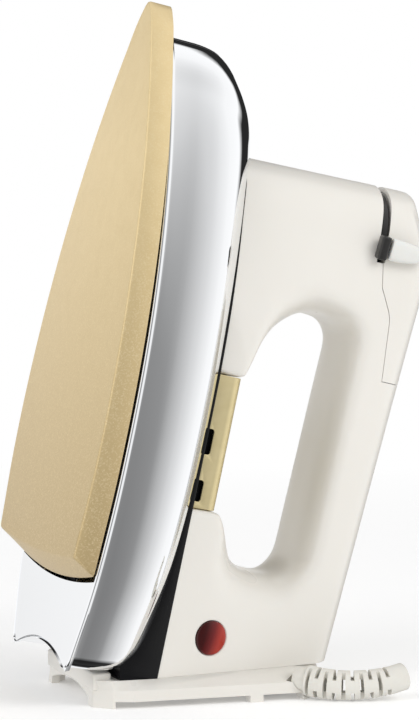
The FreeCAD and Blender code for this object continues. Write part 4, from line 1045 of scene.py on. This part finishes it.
# Brightness of the tent's walls by the compass, in degrees from straight back towards the handle's side.
WALL_STOPS = ((-180, 0.2), (-160, 0.5), (-148, 0.85), (-110, 0.95), (-68, 0.9), (-59, 0.10), (-44, 0.10),
              (-33, 0.95), (32, 0.95), (36, 0.02), (66, 0.02), (76, 0.95), (104, 0.90), (122, 0.78), (138, 0.62),
              (150, 0.42), (157, 0.27), (165, 0.2), (180, 0.2))
# What lies right below the iron is dark.
UNDER_STOPS = ((-1, 0.02), (-0.91, 0.02), (-0.84, 1.0), (1, 1.0))
# Behind the iron a dark flag hangs over a low white wall: brightness by the sine of the elevation.
BACK_STOPS = ((-1, 0.9), (-0.06, 0.72), (0.05, 0.86), (0.19, 1.0), (0.25, 0.02), (0.72, 0.02), (0.80, 1.0), (1, 1.0))
BACK_ZONE = ((-180, 0), (-24, 0), (-14, 1), (33, 1), (36, 0), (180, 0))


def fill_ramp(ramp_data, stops, whole):
    """Sets a ramp's stops from (place, grey), places running over the whole, centred on zero."""
    ramp_data.elements.remove(ramp_data.elements[0])
    for index, (place, grey) in enumerate(stops):
        spot = place / whole + 0.5
        element = ramp_data.elements[0] if index == 0 else ramp_data.elements.new(spot)
        element.position = spot
        element.color = (grey, grey, grey, 1)


def studio_tent():
    """A tent that only shows in polished surfaces: soft boxes with dark flags between them."""
    bpy.ops.object.select_all(action="DESELECT")
    bpy.ops.mesh.primitive_uv_sphere_add(segments=64, ring_count=32, radius=TENT_RADIUS, location=(0, 0, 0.13))
    tent = bpy.context.object
    tent.name = "studio_tent"
    material, nodes, links, light = emitter("studio_tent", 1.12)
    place = nodes.new("ShaderNodeTexCoord")
    split = nodes.new("ShaderNodeSeparateXYZ")
    links.new(place.outputs["Object"], split.inputs[0])
    turn = nodes.new("ShaderNodeMath")
    turn.operation = "ARCTAN2"
    links.new(split.outputs["X"], turn.inputs[0])
    links.new(split.outputs["Y"], turn.inputs[1])
    around = nodes.new("ShaderNodeMapRange")
    around.inputs["From Min"].default_value = -math.pi
    around.inputs["From Max"].default_value = math.pi
    links.new(turn.outputs[0], around.inputs["Value"])
    walls = nodes.new("ShaderNodeValToRGB")
    fill_ramp(walls.color_ramp, WALL_STOPS, 360)
    links.new(around.outputs[0], walls.inputs["Fac"])
    rise = nodes.new("ShaderNodeMapRange")
    rise.inputs["From Min"].default_value = -TENT_RADIUS
    rise.inputs["From Max"].default_value = TENT_RADIUS
    links.new(split.outputs["Z"], rise.inputs["Value"])
    back = nodes.new("ShaderNodeValToRGB")
    fill_ramp(back.color_ramp, BACK_STOPS, 2)
    links.new(rise.outputs[0], back.inputs["Fac"])
    zone = nodes.new("ShaderNodeValToRGB")
    fill_ramp(zone.color_ramp, BACK_ZONE, 360)
    links.new(around.outputs[0], zone.inputs["Fac"])
    under = nodes.new("ShaderNodeValToRGB")
    fill_ramp(under.color_ramp, UNDER_STOPS, 2)
    links.new(rise.outputs[0], under.inputs["Fac"])
    walls_and_back = mixed(nodes, links, zone.outputs["Color"], walls.outputs["Color"], back.outputs["Color"])
    both = mixed(nodes, links, under.outputs["Color"], (0.01, 0.01, 0.01), walls_and_back)
    links.new(both, light.inputs["Color"])
    tent.data.materials.append(material)
    for face in tent.data.polygons:
        face.use_smooth = True
    tent.visible_camera = False
    tent.visible_diffuse = False
    tent.visible_shadow = False
    tent.visible_transmission = False


studio_tent()

bpy.ops.object.select_all(action="DESELECT")
bpy.ops.mesh.primitive_circle_add(vertices=96, radius=14, fill_type="NGON")
floor = bpy.context.object
floor.name = "floor"
floor_material, nodes, links, shader, place = start_material("pale_floor")
shader.inputs["Base Color"].default_value = (0.93, 0.93, 0.93, 1)
shader.inputs["Roughness"].default_value = 0.8
shader.inputs["Specular IOR Level"].default_value = 0.1
shader.inputs["Emission Color"].default_value = (1, 1, 1, 1)
shader.inputs["Emission Strength"].default_value = 0.17
reach = nodes.new("ShaderNodeVectorMath")
reach.operation = "LENGTH"
links.new(place, reach.inputs[0])
haze = nodes.new("ShaderNodeEmission")
blend = nodes.new("ShaderNodeMixShader")
links.new(spread_value(nodes, links, reach.outputs["Value"], 0.0, 1.0, 0.2, 0.9), blend.inputs["Fac"])
links.new(shader.outputs[0], blend.inputs[1])
links.new(haze.outputs[0], blend.inputs[2])
links.new(blend.outputs[0], nodes["Material Output"].inputs["Surface"])
floor.data.materials.append(floor_material)
floor.visible_glossy = False

world = bpy.data.worlds.new("studio")
bpy.context.scene.world = world
world.use_nodes = True
nodes, links = world.node_tree.nodes, world.node_tree.links
nodes["Background"].inputs["Color"].default_value = (1.0, 1.0, 1.0, 1)
path = nodes.new("ShaderNodeLightPath")
AMBIENT = 0.64                      # what the pieces are lit with; the backdrop itself is white
links.new(spread_value(nodes, links, path.outputs["Is Camera Ray"], AMBIENT, 1.0, 0.0, 1.0),
          nodes["Background"].inputs["Strength"])


def soft_box(name, location, target, width, power):
    light = bpy.data.lights.new(name, "AREA")
    light.shape = "SQUARE"
    light.size = width
    light.energy = power
    obj = bpy.data.objects.new(name, light)
    obj.location = location
    obj.rotation_mode = "QUATERNION"
    obj.rotation_quaternion = (Vector(target) - Vector(location)).to_track_quat("-Z", "Y")
    obj.visible_glossy = False
    bpy.context.scene.collection.objects.link(obj)


soft_box("key_light", (0.9, -1.3, 1.1), (0, 0, 0.12), 0.9, 11.5)
soft_box("sole_light", (-1.3, -0.5, 0.9), (0, 0, 0.12), 0.8, 6)

camera_data = bpy.data.cameras.new("camera")
camera_data.sensor_width = 36
camera_data.lens = 140.49
camera = bpy.data.objects.new("camera", camera_data)
YAW, PITCH, ROLL = 0.329, 0.05465, 0.00202
camera.matrix_world = (Matrix.Translation((-0.34724, -0.99535, 0.18078))
                       @ Matrix.Rotation(-YAW, 4, "Z") @ Matrix.Rotation(math.pi / 2 - PITCH, 4, "X")
                       @ Matrix.Rotation(ROLL, 4, "Z"))
camera_data.clip_start = 0.01
camera_data.clip_end = 50
bpy.context.scene.collection.objects.link(camera)
bpy.context.scene.camera = camera
bpy.context.scene.view_settings.view_transform = "Standard"
